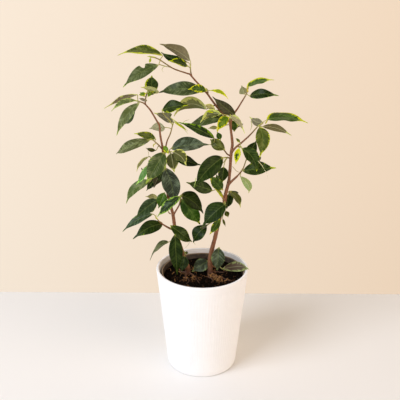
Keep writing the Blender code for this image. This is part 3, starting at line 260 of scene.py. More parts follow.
# Leafy sprays. Each has its shoots, drafted from inside the wood outwards, and its leaves: base, tip,
# roll in degrees, width in cm, bow and sweep as shares of the length, the tones of its upper side and
# underside, and the width in mm of its pale margin on the left, on the right and towards the tip.
SPRAYS = {
    "spray_top_end": (
        (((-1.85, 43.8, -0.2), (-2.4, 43.95, -0.3), (-4.1, 44.55, -0.6), (-5.9, 45.7, -1),
          (-6.9, 46, -1.2)),),
        (
            ((-5.4, 46.2, -0.5), (-11.25, 46.15, 0.6), 58, 2, 0.11, -0.02, "olive", "taupe", 3.2, 1.2, 7),
            ((-5.95, 44.95, -1.3), (-10.7, 42, -2.8), 35, 1.9, 0.04, -0.06, "grey", "olive", -0.6, -1.6, 3),
            ((-6.95, 45.85, -1.2), (-7.1, 45.15, -1.3), 0, 0.3, 0.03, 0, "lime", "pale", 0, 0, 0),
        ),
    ),
    "spray_top_fork": (
        (((-1.55, 43.43, -0.12), (-1.7, 43.95, 0.2), (-1.75, 44.5, 0.4)),),
        (
            ((-1.8, 45.55, 0.7), (-5.75, 47.65, 0.4), 130, 2.2, 0.12, -0.03, "dark", "taupe", -2, -2, 0),
            ((-2.15, 45.35, 2), (-5.6, 46.65, 4), 35, 1.2, 0.06, 0.12, "night", "olive", -2, -1, 1),
            ((-2.1, 44.85, -0.1), (-4.7, 45.5, -1.8), 45, 1.35, 0.08, 0, "dark", "olive", 1.3, 1.3, 5),
        ),
    ),
    "spray_long_stem": (
        (((0.55, 41.15, 0.3), (0.55, 41.5, -0.15), (0.45, 41.75, -0.4)),),
        (
            ((0, 41.7, -0.5), (-6, 41.3, 0.6), 15, 1.9, 0.22, 0, "grey", "olive", -1.6, -1.6, 0),
            ((0.4, 41.6, -0.9), (-2.1, 41.75, -2.4), 10, 1.1, 0.02, -0.08, "green", "olive", 0.8, 1.6, 5),
            ((0.9, 41.65, -0.4), (3.3, 40.5, -1.3), -45, 0.7, 0.1, 0.1, "lime", "pale", 1, 1.5, 4),
        ),
    ),
    "spray_mid_stem": (
        (((1.6, 39.7, 0.5), (1.2, 39.55, 0.75), (0.8, 39.4, 0.75)),),
        (
            ((0.35, 39.15, 0.6), (-4, 38.1, 0.4), 140, 2.1, 0.2, 0.18, "olive", "olive", 4.2, -0.6, 7),
            ((-1.2, 39.8, 1.6), (-3, 39.9, 5), 20, 1.2, 0.1, 0, *BACK_LEAF),
        ),
    ),
    "spray_crown_front": (
        (((3.6, 37.2, 0.8), (3.6, 37.8, 0.2), (3.6, 38.2, -0.1)),),
        (
            ((2.5, 37.95, 0.6), (-2.1, 36.9, 1.6), 40, 1.85, 0.2, 0.12, "grey", "taupe", -1.2, -1, 2),
            ((2.4, 38.5, -0.6), (-0.45, 37.25, -0.2), 150, 1.35, 0.18, 0.1, "green", "olive", 2.6, 1.4, 3),
            ((4.3, 38.3, 0.3), (1.15, 40.85, 0.2), 0, 1.4, 0.03, 0.02, "umber", "taupe", -2, -2, 0),
            ((3.45, 38.05, -0.6), (1.9, 36, -2), -15, 1.3, 0.02, -0.12, "fresh", "pale", 1.6, 2, 6),
            ((3.5, 38.1, -0.5), (5.65, 35.8, -2.8), -125, 1.25, 0.02, -0.16, "green", "tan", -0.3, 0.8, 9),
        ),
    ),
    "spray_crown_back": (
        (((3.72, 36.4, 0.8), (3.8, 36.9, 1.2), (3.7, 37.4, 1.5)),),
        (
            ((3.9, 37.6, 1.6), (4.25, 36.1, 2.2), 0, 1.2, 0.06, 0, "green", "olive", -1, -1, 2),
            ((2.6, 38.2, 2), (1, 37.9, 5), 20, 1.9, 0.1, 0, *BACK_LEAF),
            ((2, 36.6, 1.3), (0.6, 36.5, 1.6), 150, 0.6, 0.05, 0, "fresh", "pale", 0, 0, 1),
            ((4.3, 37.3, 2.2), (4.6, 36.7, 5.4), -10, 1.7, 0.1, 0, *BACK_LEAF),
        ),
    ),
    "spray_upper_right": (
        (((5, 40, 1.4), (5.4, 40.7, 1.5), (5.7, 41.3, 1.6), (5.85, 41.9, 1.7)),),
        (
            ((5.75, 42.15, 1.4), (9.3, 43.1, 2.2), -65, 2, 0.06, 0.08, "green", "olive", 3.4, -0.2, 8),
            ((6.1, 40.95, 1), (10, 41, -0.4), -25, 1.45, 0.22, -0.03, "night", "olive", -1.6, -0.4, 2),
            ((5.4, 41.2, 1.9), (5, 42.35, 3.6), 180, 1.25, 0.04, 0, "green", "sage", -1.6, -1.6, 0),
        ),
    ),
    "spray_right_branch": (
        (((6.1, 35.35, -0.2), (6.6, 35.9, -0.4), (7.1, 36.5, -0.6), (7.4, 36.85, -0.7)),),
        (
            ((8.55, 37.75, -0.9), (14.15, 37.3, -0.6), -62, 2.7, 0.03, 0.16, "green", "olive", 2.6, -1.8, 11),
            ((8, 36.8, -0.6), (12, 35.55, 0.2), -158, 1.05, 0.1, -0.05, "dark", "dun", -1.4, -1.4, 5),
            ((7.6, 36.75, -1.2), (7.75, 32.45, -3.4), -3, 1.9, 0.13, 0.1, "olive", "olive", 0.4, -1, 2),
            ((8.05, 37.3, -0.1), (6.2, 38.15, 1.3), 170, 1.1, 0.03, -0.12, "olive", "ash", -0.2, -0.2, 2),
        ),
    ),
    "spray_right_inner": (
        (((4.6, 33.98, 0.45), (4.85, 33.95, 0.1), (5.05, 33.95, -0.15)),),
        (
            ((5.3, 33.7, -0.4), (7.45, 30.4, -1.8), -20, 1.85, 0.04, 0.14, "dark", "olive", -1.5, -1.5, 2),
            ((4.9, 33.75, -0.5), (4.5, 31.4, -1.2), 8, 0.9, 0.08, 0, "green", "pale", 2.9, 2.7, 7),
            ((5, 34.55, -0.1), (4.4, 35.2, 0.2), 30, 0.45, 0.04, 0, "olive", "tan", -0.4, -0.4, 1),
        ),
    ),
    "spray_lower_right": (
        (((4.8, 29.75, 0.1), (5.2, 30.25, 0), (5.5, 30.7, 0.05), (5.95, 32.1, 0.15)),),
        (
            ((6.05, 32.4, 0.4), (7.3, 34.9, 1.8), 0, 1.5, 0.05, 0, "night", "olive", -1.6, -1.6, 1),
            ((5.5, 30.5, -0.3), (10.15, 30.95, -1.2), -36, 2.25, 0.05, -0.02, "dark", "olive", -0.8, -1.8, 5),
            ((5.2, 29.65, -0.1), (6.4, 27.2, -2.4), 180, 1.05, 0.22, -0.15, "green", "reed", -0.4, -0.4, 1),
            ((6.9, 32.2, 1.6), (7.6, 31.6, 5), -20, 1.7, 0.1, 0, *BACK_LEAF),
        ),
    ),
    "spray_large_leaf": (
        (((3.8, 32.2, 0.65), (3.4, 32.4, 0.1), (3.1, 32.4, -0.3)),),
        (
            ((2.75, 32.4, -0.6), (-1.15, 28, -2.9), -8, 2.5, 0.1, -0.08, "night", "olive", -2, -2, 0),
            ((2.85, 31.05, 0.8), (2.65, 28.6, -0.1), -10, 1.5, 0.05, 0, "dark", "olive", -1.2, 0, 2),
            ((2.7, 31.6, 1.7), (0.9, 30.6, 5.2), 15, 2, 0.1, 0, *BACK_LEAF),
        ),
    ),
    "spray_inner_left": (
        (((3.82, 32.6, 0.67), (3.3, 32.9, 0.6), (2.9, 33.4, 0.6), (2.3, 33.9, 0.8), (1.5, 34.2, 0.9)),),
        (
            ((2.95, 33.55, 0.1), (0.9, 35, 1.5), -12, 1.55, 0.22, -0.03, "olive", "olive", -1.2, -1.2, 1),
            ((1.5, 35.1, -0.3), (-3.5, 37.35, -0.4), -20, 1.2, 0.2, -0.12, "night", "olive", -1, 1.4, 2),
            ((2.35, 35, 0.4), (1.85, 36.05, 0.6), 0, 0.8, 0.04, 0, "green", "olive", -1, -1, 1),
            ((-0.2, 34.2, 1.9), (-2.5, 33.9, 4.2), 15, 1.1, 0.1, 0, *BACK_LEAF),
        ),
    ),
    "spray_node_left": (
        (((2.4, 27.15, 0), (2.2, 27.6, -0.1), (2.15, 27.85, -0.15)),),
        (
            ((1.35, 27.55, -0.4), (-2.35, 28.75, -1.8), 8, 1.7, 0.03, 0, "dark", "olive", -1.6, -1.6, 1),
            ((2.75, 27.7, -0.35), (0.8, 29.9, -1.4), -5, 1.5, 0.03, 0, "green", "olive", 0.2, -1.2, 2),
            ((2.6, 28.3, 0.8), (1.8, 30, 1.9), 0, 1, 0.05, 0, "dark", "olive", -1.6, -1.6, 1),
        ),
    ),
    "spray_node_right": (
        (((3.25, 27.2, 0.35), (3.55, 27.35, 0.8), (3.7, 27.4, 1)),),
        (
            ((3.6, 27, 1.2), (3.4, 24.8, 0.9), 0, 1.5, 0.05, 0, "night", "olive", -1.6, -1.6, 1),
            ((3.9, 27.35, 0.7), (5.35, 25, -0.3), -55, 1.7, 0.15, 0, "olive", "reed", -0.6, -0.8, 2),
            ((4, 26.9, 1.3), (4.2, 25.8, 1.5), 0, 0.5, 0.04, 0, "olive", "olive", -1.6, -1.6, 0),
            ((3.8, 27.5, 1.9), (4.1, 26.9, 5.2), -10, 1.8, 0.12, 0, *BACK_LEAF),
        ),
    ),
    "spray_lower_front": (
        (((3.05, 25.7, 0.3), (3.12, 25.8, -0.15), (3.1, 25.85, -0.45)),),
        (
            ((3.25, 25.6, -0.75), (0, 22.15, -1.5), 25, 2.7, 0.1, 0, "night", "olive", -1.8, -1.6, 0),
        ),
    ),
    "spray_low_right": (
        (((2.65, 24.15, 0.33), (2.85, 24.3, 0.75), (3, 24.4, 0.95)),),
        (
            ((3.3, 24.45, 0.9), (3.65, 23.5, 0.6), 0, 0.75, 0.05, 0, "olive", "olive", -1.6, -1.6, 1),
            ((2.85, 23.3, 1), (3.3, 22.05, 0.9), 0, 0.35, 0.03, 0, "olive", "olive", -2, -2, 0),
            ((2.6, 24.7, 1.7), (1.5, 24.2, 4.6), 10, 1.9, 0.1, 0, *BACK_LEAF),
        ),
    ),
    "spray_low_left": (
        (((2.35, 23, 0.37), (2.2, 23.1, -0.1), (2.05, 23.1, -0.25)),),
        (
            ((2.45, 23.25, -0.5), (1, 20.8, -1.3), -18, 1.15, 0.04, 0, "green", "olive", -0.8, 0.6, 2),
            ((0.55, 22.2, 0.1), (-1.35, 19.5, 0), 22, 2.05, 0.22, 0, "night", "olive", -1.8, -1.8, 0),
        ),
    ),
    "spray_right_foot": (
        (((1.15, 15.9, 0.5), (1.35, 15.95, 1.1), (1.8, 15.6, 1.2), (2.4, 15.8, 1), (2.6, 17, 0.6),
          (2.6, 18.2, 0.2)),),
        (
            ((2.35, 18.75, -0.5), (2.2, 15, -0.6), 0, 2, 0.05, 0, "slate", "olive", -0.6, -0.8, 0),
            ((3, 15.3, 0.5), (6.9, 15.25, -2.3), -155, 1.6, 0.2, 0, "grey", "plum", 2, 1.5, 6),
            ((0.85, 16.6, 1.1), (-1.5, 14.85, 0.3), 15, 2.05, 0.06, 0, "slate", "olive", -0.5, -0.6, 1),
        ),
    ),
    "spray_left_top": (
        (((-7.8, 39.75, -0.5), (-8.1, 39.95, -0.6), (-8.75, 40.15, -0.75)),
         ((-7.8, 39.75, -0.5), (-7.75, 40.4, -0.4), (-7.55, 41.2, -0.35))),
        (
            ((-6.95, 41.15, -0.3), (-6.85, 43.6, 2.2), 0, 1.8, 0.06, 0, "dark", "olive", 1.8, -0.4, 1),
            ((-6, 41.35, 0.6), (-8.35, 42.05, 2), 150, 1.15, 0.08, 0, "fresh", "straw", 0, 0.4, 2),
            ((-8.85, 41.05, 0.2), (-13.35, 39.15, 1.4), 124, 1.3, 0.14, -0.14, "green", "taupe", 0.4, 0.6, 5),
            ((-9, 40.25, -0.8), (-12.4, 38.75, -1.8), 48, 1.05, 0.12, -0.06, "lead", "olive", 1.2, 0.4, 6),
            ((-8.6, 39.9, -1.2), (-11.8, 35.4, -2.2), 28, 1.45, 0.06, -0.06, "lead", "olive", -0.6, -1.8, 4),
            ((-7.8, 40.8, -0.5), (-8.5, 41.4, -0.4), 20, 0.45, 0.03, 0, "fresh", "pale", 0, 0, 2),
            ((-9.2, 39, 0.4), (-10.6, 37, 3.6), 10, 1.2, 0.1, 0, "grey", "olive", -2, -2, 0),
        ),
    ),
    "spray_left_twig": (
        (((-5.6, 33.5, 0.38), (-6, 34, 0.1), (-6.5, 34.5, -0.1), (-6.85, 34.8, -0.2)),),
        (
            ((-6.5, 34.95, 0.2), (-9.45, 35.7, 1.4), 28, 1.15, 0.07, -0.04, "olive", "olive", 0.2, 0.8, 5),
            ((-7.25, 34.85, -0.5), (-12, 32.8, 1), 42, 1.9, 0.2, 0.12, "lead", "olive", -1.4, -1.8, 0),
            ((-6.55, 33.35, 0.6), (-7.9, 33.7, 0.4), -20, 0.6, 0.03, 0.05, "olive", "olive", -1.4, -1.4, 0),
        ),
    ),
    "spray_left_second": (
        (((-5.12, 33.95, 0.6), (-4.9, 34.8, 0.7), (-4.5, 35.7, 0.8), (-4.15, 37, 0.9)),),
        (
            ((-5.2, 36.6, 0.9), (-7.35, 36.4, 1.8), 150, 1.5, 0.06, 0, "green", "mist", -2, -2, 1),
            ((-4.05, 37.35, 1.1), (-6.7, 38.6, 2.4), 140, 1.4, 0.06, 0, "green", "ash", -1.2, -0.6, 2),
            ((-4, 37.4, 0.8), (-2.1, 36.1, 0.5), -30, 0.4, 0.05, 0, "lime", "pale", 0, 0, 0),
            ((-4.9, 37.7, 2), (-4.8, 38.6, 4.8), 0, 1.2, 0.1, 0, "olive", "taupe", -2, -2, 0),
            ((-5.55, 39, 0.2), (-2.05, 39.7, -0.6), -35, 1.9, 0.1, -0.02, "dark", "olive", -1, 0.9, 1),
        ),
    ),
    "spray_left_middle": (
        (((-5.51, 32.6, 0.43), (-5.2, 33, -0.1), (-4.7, 33.2, -0.5)),),
        (
            ((-5.35, 33.1, -0.9), (-8, 28.5, -2.8), 0, 2.4, 0.06, 0, "grey", "olive", 0.2, -1, 5),
            ((-5.4, 34, -0.4), (-4.75, 32.8, -1.3), 0, 0.7, 0.05, 0, "fresh", "pale", 0.4, 0.4, 1),
            ((-4.2, 33.15, -1.5), (-2.35, 31.2, -1.5), -168, 1.6, 0.03, -0.14, "green", "moss", -0.6, 1, 3),
            ((-4.2, 32.8, 0.4), (-0.2, 31.3, 0.8), -26, 1.55, 0.16, -0.12, "night", "olive", -1.6, -1.8, 1),
            ((-4.4, 32.95, -0.9), (-4, 30.2, -0.7), 180, 1.8, 0.06, 0, "green", "moss", -0.2, 0.4, 4),
            ((-4.4, 33.65, 0.4), (0.75, 34.2, 0.9), -40, 2.65, 0.1, -0.03, "slate", "olive", -2, -2, 0),
        ),
    ),
    "spray_left_hanging": (
        (((-5.4, 31.2, 0.5), (-6.1, 31.3, 0.6), (-6.7, 31.1, 0.5), (-7.2, 30, 0.4)),),
        (
            ((-7.45, 32.5, 0.7), (-9.25, 30.3, 1.2), 120, 0.95, 0.07, 0.05, "fresh", "pale", 0.6, 0.6, 4),
            ((-7.85, 31.1, -0.1), (-9.4, 28.35, -1), 30, 1, 0.03, 0.1, "mint", "olive", 0.4, 0.4, 3),
            ((-7.35, 28.9, 0.3), (-10.85, 25.5, -0.8), 32, 1.6, 0.03, -0.15, "lead", "olive", -1.8, -1.6, 1),
            ((-5.6, 30.9, 1.1), (-6.9, 27.9, 1.6), 170, 1.9, 0.06, 0, "night", "umber", -2, -2, 0),
            ((-6.6, 29.4, 1.9), (-7.95, 27.45, 2.2), 0, 1, 0.06, 0, "night", "olive", -1.6, -1.6, 1),
            ((-6.2, 31.8, 1.4), (-6.9, 31, 4.8), 10, 2, 0.1, 0, *BACK_LEAF),
        ),
    ),
    "spray_left_dark": (
        (((-5.3, 30.1, 0.47), (-5.25, 30.55, 0), (-5.2, 30.8, -0.2)),),
        (
            ((-5.35, 30.85, -0.2), (-4.3, 25.6, 0.3), 10, 2.5, 0.08, 0.1, "slate", "olive", -2, -2, 0),
            ((-5.6, 30.6, 0.5), (-6.2, 28.9, 0.9), 0, 1.4, 0.05, 0, "night", "olive", -2, -2, 0),
        ),
    ),
    "spray_left_back": (
        (((-5.15, 28.6, 0.42), (-5.1, 28.9, 0.9), (-5, 29.3, 1.3)),),
        (
            ((-4.9, 29.7, 1.8), (-4.3, 28.2, 5), 0, 2, 0.12, 0, *BACK_LEAF),
        ),
    ),
    "spray_left_side": (
        (((-4.83, 26.4, 0.35), (-5.3, 26.5, 0.1), (-5.75, 26.3, 0.05), (-6.15, 26.05, 0)),),
        (
            ((-6.4, 26.1, -0.3), (-9.65, 23.25, -2.2), -15, 1.85, 0.07, -0.06, "teal", "olive", -2, -2, 0),
            ((-6.3, 26.2, 0.5), (-8.1, 26.6, 1.8), 150, 1.1, 0.1, 0, "lime", "straw", -1, -1, 0),
            ((-5.4, 27.2, -0.3), (-6.3, 24.8, -0.9), 10, 1.5, 0.05, 0, "green", "olive", -1.8, -1.8, 0),
            ((-6.5, 25.5, 0.8), (-7.6, 25, 4.2), 10, 1.9, 0.1, 0, *BACK_LEAF),
        ),
    ),
    "spray_left_fork": (
        (((-3.35, 25.3, 0), (-3.22, 25.9, -0.1), (-3.15, 26.3, -0.15)),),
        (
            ((-3.15, 26.7, -0.9), (-6.5, 23.5, -1.4), 38, 1.7, 0.2, 0.1, "teal", "olive", 1.7, 1.5, 0),
            ((-3.1, 26.85, -0.5), (0.1, 24.05, -0.3), -42, 2.8, 0.05, 0.08, "night", "olive", -1.8, -1.4, 1),
            ((-3.1, 26.2, 0), (-0.35, 22.35, 1.2), 22, 2.3, 0.08, 0.05, "green", "olive", -0.6, -1, 1),
            ((-2.9, 26.3, 0.6), (-1.6, 25.5, 4.4), -10, 1.9, 0.1, 0, *BACK_LEAF),
        ),
    ),
    "spray_left_low_end": (
        (((-5.9, 22.5, -0.45), (-6.2, 22.8, -0.5), (-6.45, 23.15, -0.5)),),
        (
            ((-7.1, 23.95, -0.2), (-11.55, 21.15, -0.9), 32, 1.35, 0.03, -0.07,
             "teal", "olive", -1.8, -1.8, 0),
            ((-5.75, 22.4, -0.1), (-10.1, 20, -2.8), 16, 2, 0.2, -0.03, "night", "olive", -1.2, -1.8, 1),
        ),
    ),
    "spray_left_front": (
        (((-4.02, 22, 0.3), (-4.15, 22.05, -0.2), (-4.25, 21.95, -0.55)),),
        (
            ((-4.6, 22.2, -0.9), (-1.5, 19.65, 0), -28, 1.9, 0.17, -0.09, "dark", "olive", -0.6, -0.8, 2),
            ((-4, 20.8, -1), (-3.7, 14.3, -1.8), 0, 2, 0.04, 0, "night", "olive", -1.8, -1.8, 1),
        ),
    ),
    "spray_left_low": (
        (((-3.35, 19.45, 0.3), (-3.7, 19.6, 0.6), (-4.3, 19.75, 0.4)),),
        (
            ((-4.9, 19.6, 0), (-7.7, 16.6, 0.4), 70, 1.95, 0.1, -0.07, "grey", "olive", -1.8, -1.8, 0),
            ((-4.2, 19.9, 1.4), (-3.4, 19.6, 4.6), 0, 1.9, 0.1, 0, *BACK_LEAF),
        ),
    ),
    "spray_left_foot": (
        (((-2.95, 18.15, 0.3), (-2.75, 18.2, -0.1), (-2.6, 18, -0.35)),),
        (
            ((-2.6, 17.4, -0.35), (-3.05, 14.85, -0.6), 0, 1.6, 0.05, 0, "teal", "olive", -1.8, -1.8, 0),
            ((-2.5, 18, 0.4), (-2.05, 17.8, 0.1), 0, 0.45, 0.03, 0, "olive", "olive", -2, -2, 0),
        ),
    ),
}

# Scales, bracts and withered bits too small for the solids, in the same form as the leaves, but their
# bases and tips were read off the photo with a ruler: pixels right and down, and a depth in cm
BRACTS = {
    "spray_left_top": (
        ((158.5, 91.2, -0.6), (141, 87.3, -0.5), 150, 0.75, 0.04, 0, "fresh", "pale", 0, 0.3, 2),
        ((146, 93.5, -0.7), (138.3, 95.2, -0.6), 20, 0.55, 0.04, 0, "fresh", "pale", 0.5, 0.5, 2),
        ((151, 91.5, -0.6), (147.5, 97.5, -0.7), 10, 0.5, 0.04, 0, "fresh", "pale", 0.4, 0, 2),
        ((156, 90.5, -0.4), (150.5, 95.5, -0.5), 20, 0.5, 0.04, 0, "green", "pale", 0.4, 0.2, 1),
        ((146.5, 101, -0.9), (138.5, 98, -1), 140, 0.5, 0.03, 0, "umber", "plum", 0, 0, 0),
    ),
    "spray_mid_stem": (
        ((214.5, 108.5, 0), (204, 104.5, -0.3), 160, 0.75, 0.04, 0, "fresh", "straw", 0, 0.4, 2),
        ((215, 111, 0), (206, 111.5, -0.2), 20, 0.5, 0.04, 0, "lime", "pale", 0, 0, 1),
    ),
    "spray_node_left": (
        ((222, 194, -0.5), (213.5, 187, -0.7), 20, 0.5, 0.04, 0, "olive", "olive", 1, 0.4, 2),
        ((222.5, 197, -0.5), (217, 190.5, -0.8), 20, 0.4, 0.04, 0, "fresh", "pale", 0.4, 0.2, 1),
    ),
    "spray_low_left": (
        ((200.5, 228, -0.3), (208.7, 224.6, -0.4), -20, 0.65, 0.05, 0, "umber", "taupe", -1, -1, 0),
    ),
}

# Buds, threads and bare leaf stalks: a route in the photo's pixels, the depths in cm of its ends, the
# radius in mm where it starts, and the sRGB colour
THREADS = {
    "spray_top_end": (
        (((159, 64.4), (165, 66.2), (170.8, 67.6)), -1.2, -0.4, 0.6, "8d8a40"),
        (((155.5, 57.4), (151.2, 57), (148.7, 62.2)), -1.2, -1.2, 0.65, "bcbf26"),
        (((166, 66), (163, 67.5), (162, 70), (163.5, 72.3)), -0.9, -1.1, 0.35, "b5b85a"),
    ),
    "spray_left_second": (
        (((172, 119), (178, 123), (184, 129), (188, 134)), 0.7, 0.5, 0.55, "b9bf3c"),
        (((170.5, 117.5), (175, 121), (177, 125)), 0.7, 0.6, 0.5, "c6c86a"),
        (((182, 124), (185, 121), (190, 119.5)), 0.5, 0.4, 0.35, "a9b04a"),
    ),
    "spray_right_inner": (
        (((258, 161), (262, 165.5), (264.5, 170)), -2, -2.2, 0.5, "c0bb86"),
        (((264.5, 170), (267, 174), (268, 179)), -2.2, -2.3, 0.25, "cfc8a6"),
    ),
    "spray_left_hanging": (
        (((141.5, 168), (143, 172.5), (141.5, 175)), 0.2, 0.1, 0.8, "4f4a1c"),
    ),
    "spray_upper_right": (
        (((248, 92), (247.2, 88.5), (246.8, 86)), 1.4, 1.3, 0.9, "c6b234"),
    ),
    "spray_right_branch": (
        (((265.5, 123.5), (267, 121), (268.5, 119)), -0.6, -0.7, 0.95, "c6c234"),
        (((251, 121), (251.8, 126), (250, 131)), 0.9, 0.8, 0.5, "a6ab5a"),
    ),
    "spray_left_twig": (
        (((155.5, 143.5), (153.5, 145), (153.5, 147.5)), 0, -0.1, 0.8, "c6c234"),
        (((148, 151), (148.6, 153.5), (148.2, 156.5)), 0.4, 0.3, 0.3, "a9a860"),
    ),
    "spray_left_low_end": (
        (((157.5, 219), (155.8, 217.5), (156.5, 214.5)), -0.6, -0.6, 0.85, "c6c234"),
    ),
    "spray_node_left": (
        (((223, 190), (219.5, 188), (218, 185.5)), -0.4, -0.5, 0.85, "a8a03a"),
        (((224, 200), (220, 192), (216, 189)), -0.4, -0.5, 0.4, "8f7a34"),
    ),
    "spray_lower_right": (
        (((232.5, 166.5), (236.5, 171), (241, 173)), 0.3, 0.2, 0.4, "9a8a4a"),
        (((246.5, 160), (243.5, 167), (239.5, 172.5)), 0.1, 0.2, 0.5, "a3a04e"),
    ),
    "spray_left_side": (
        (((170.5, 214), (168.8, 212.5), (168, 210.5)), 0.3, 0.2, 0.9, "8a6a3c"),
    ),
    "spray_large_leaf": (
        (((196, 178), (195.2, 183), (193.8, 187.5)), -3, -3.1, 0.55, "9fb25a"),
    ),
    "spray_left_front": (
        (((190.5, 240.5), (188, 245), (184.5, 248.5)), 0.1, 0.2, 0.3, "c0bb92"),
    ),
    "spray_low_left": (
        (((192.8, 241), (194, 243), (195.5, 245)), 0, 0, 0.35, "9fa85a"),
    ),
    "spray_crown_front": (
        (((217.5, 127), (216.8, 129.5), (217.2, 131.8)), -1.9, -2, 0.55, "d8d020"),
    ),
}

# Patches of dry rootlets on the soil: middle x and y and spread in cm, and how many
ROOT_PATCHES = (
    (-1.9, 0.9, 0.5, 12), (-1.6, -1.3, 0.6, 9), (-0.5, -1.2, 0.5, 4), (1.7, -0.5, 0.4, 18),
    (2.8, -1.5, 0.5, 9), (3.8, -1.8, 0.5, 4), (-2.9, -2.6, 0.6, 5), (-4.6, 0.6, 0.5, 2),
    (0.0, 2.5, 1.2, 6), (3.5, 2.0, 0.8, 5),
)

# Table and wall, in metres: how far behind the pot's axis the table ends and the wall stands
TABLE_BACK = 0.204
WALL_FRONT = 1.15

# Bites in a blade, by its base: the share of its length, its side (1 left, -1 right), and the share of
# that half that is lost
BITES = {(-5.95, 44.95, -1.3): (0.33, -1.0, 0.6)}
NO_BITE = (0.5, 1.0, 0.0)
BITE_SPREAD = 0.05


def linear(colour):
    """Linear RGBA of an sRGB hex colour."""
    parts = [int(colour[i:i + 2], 16) / 255.0 for i in (0, 2, 4)]
    return tuple(c / 12.92 if c <= 0.04045 else ((c + 0.055) / 1.055) ** 2.4 for c in parts) + (1.0,)


def blended(first, last, share):
    """Linear RGBA between two sRGB hex colours."""
    return np.array(linear(first)) * (1.0 - share) + np.array(linear(last)) * share


def smooth(value):
    """Smooth step: 3t^2 - 2t^3 of the value held between 0 and 1."""
    held = np.clip(value, 0.0, 1.0)
    return held * held * (3.0 - 2.0 * held)


def unit(vectors):
    """Vectors at length 1."""
    return vectors / np.linalg.norm(vectors, axis=-1, keepdims=True)


def seen(drafted):
    """Real places, in metres, of drafted points: each slides along its line of sight by its depth."""
    drafted = np.asarray(drafted, float)
    front = drafted[..., (0, 0, 1)] * (1.0, 0.0, 1.0)
    return (EYE + (front - EYE) * (1.0 + drafted[..., 2:3] / EYE_DISTANCE)) * CM


def off_photo(right, down, depth):
    """Drafted places of pixels of the photo: the line of sight through each, followed to the mid plane.

    The camera's roll is undone first and then its dip.
    """
    roll, dip = math.radians(CAMERA_ROLL), math.radians(CAMERA_DIP)
    right, down = np.asarray(right, float) - PHOTO_MIDDLE, np.asarray(down, float) - PHOTO_MIDDLE
    across = (math.cos(roll) * right + math.sin(roll) * down) / PHOTO_FOCUS
    rise = (math.sin(roll) * right - math.cos(roll) * down) / PHOTO_FOCUS
    reach = EYE_DISTANCE / (math.cos(dip) + math.sin(dip) * rise)
    height = EYE[2] + (math.cos(dip) * rise - math.sin(dip)) * reach
    return np.stack(np.broadcast_arrays(EYE[0] + across * reach, height, depth), axis=-1)


def smooth_path(knots, steps):
    """Catmull-Rom curve: each span is the cubic whose end slopes are half its neighbours' chords."""
    knots = np.asarray(knots, float)
    padded = np.vstack([2.0 * knots[0] - knots[1], knots, 2.0 * knots[-1] - knots[-2]])
    before, start, end, after = (padded[i:len(padded) - 3 + i, None, :] for i in range(4))
    share = np.linspace(0.0, 1.0, steps, endpoint=False)[None, :, None]
    bend = 2.0 * before - 5.0 * start + 4.0 * end - after + share * (3.0 * (start - end) + after - before)
    spans = start + 0.5 * share * (end - before + share * bend)
    return np.vstack([spans.reshape(-1, knots.shape[1]), knots[-1:]])


def run_along(path):
    """Distance along a path from its start to each of its places."""
    return np.concatenate([(0.0,), np.cumsum(np.linalg.norm(np.diff(path, axis=0), axis=1))])


def carried_axes(path, main, side):
    """Side and upper direction at each place of a path: the least turn from main onto its slope."""
    slope = unit(np.gradient(path, axis=0))
    lean = (slope @ side) / (1.0 + slope @ main)
    sides = unit(side - lean[:, None] * (main + slope))
    return sides, np.cross(slope, sides)


def round_rings(path, radii, around, main):
    """Rings of a round tube: the path plus its radius times cosine along one axis, sine along the other.

    The radii are one for each place of the path, or one for each place and each angle.
    """
    side = unit(np.cross(main, np.roll(main, 1) + (0.1, 0.2, 0.3)))
    sides, uppers = carried_axes(path, main, side)
    angle = np.linspace(0.0, math.tau, around, endpoint=False)
    circle = sides[:, None] * np.cos(angle)[:, None] + uppers[:, None] * np.sin(angle)[:, None]
    return path[:, None] + circle * radii.reshape(len(path), -1, 1)


def turned_rings(profile, steps, shift=0.0, swell=0.0):
    """Rings of a turned form: each profile radius, plus any swell at each angle, carried round the axis."""
    angle = np.linspace(0.0, math.tau, steps, endpoint=False)
    radius = profile[:, 0:1] + swell
    x = radius * np.cos(angle) + shift
    y = radius * np.sin(angle)
    z = np.broadcast_to(profile[:, 1:2], x.shape)
    return np.stack([x, y, z], axis=-1) * CM


def with_ends(values):
    """A row of values for each point of a shell, with the means of the first and last ring added."""
    return np.concatenate([values.reshape(-1, values.shape[-1]), values[:1].mean(axis=1),
                           values[-1:].mean(axis=1)])


def shell_faces(rows, around):
    """Faces of a closed shell: quads from ring to ring, and a fan to the middle of each end ring."""
    row, place = np.meshgrid(np.arange(rows - 1), np.arange(around), indexing="ij")
    near = row * around + place
    far = row * around + (place + 1) % around
    quads = np.stack([near, far, far + around, near + around], axis=-1).reshape(-1, 4)
    ring = np.arange(around)
    after = (ring + 1) % around
    last = (rows - 1) * around
    start = np.stack([after, ring, np.full(around, rows * around)], axis=-1)
    end = np.stack([last + ring, last + after, np.full(around, rows * around + 1)], axis=-1)
    return quads, np.concatenate([start, end])


def add_piece(name, points, faces, materials, nodes, layers=None, paints=None):
    """A piece from its points and faces, with a material for each face and painted values for each point."""
    mesh = bpy.data.meshes.new(name)
    mesh.from_pydata(points, [], faces)
    for material in materials:
        mesh.materials.append(material)
    if layers is not None:
        mesh.polygons.foreach_set("material_index", layers.astype(np.int32))
    for key, values in (paints or {}).items():
        kind, field = ("FLOAT_VECTOR", "vector") if values.shape[-1] == 3 else ("FLOAT_COLOR", "color")
        mesh.attributes.new(key, kind, "POINT").data.foreach_set(field, values.astype(np.float32).ravel())
    mesh.shade_smooth()
    mesh.update()
    piece = bpy.data.objects.new(name, mesh)
    bpy.context.scene.collection.objects.link(piece)
    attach(piece, "root")
    if nodes:
        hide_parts(*nodes)
    return piece


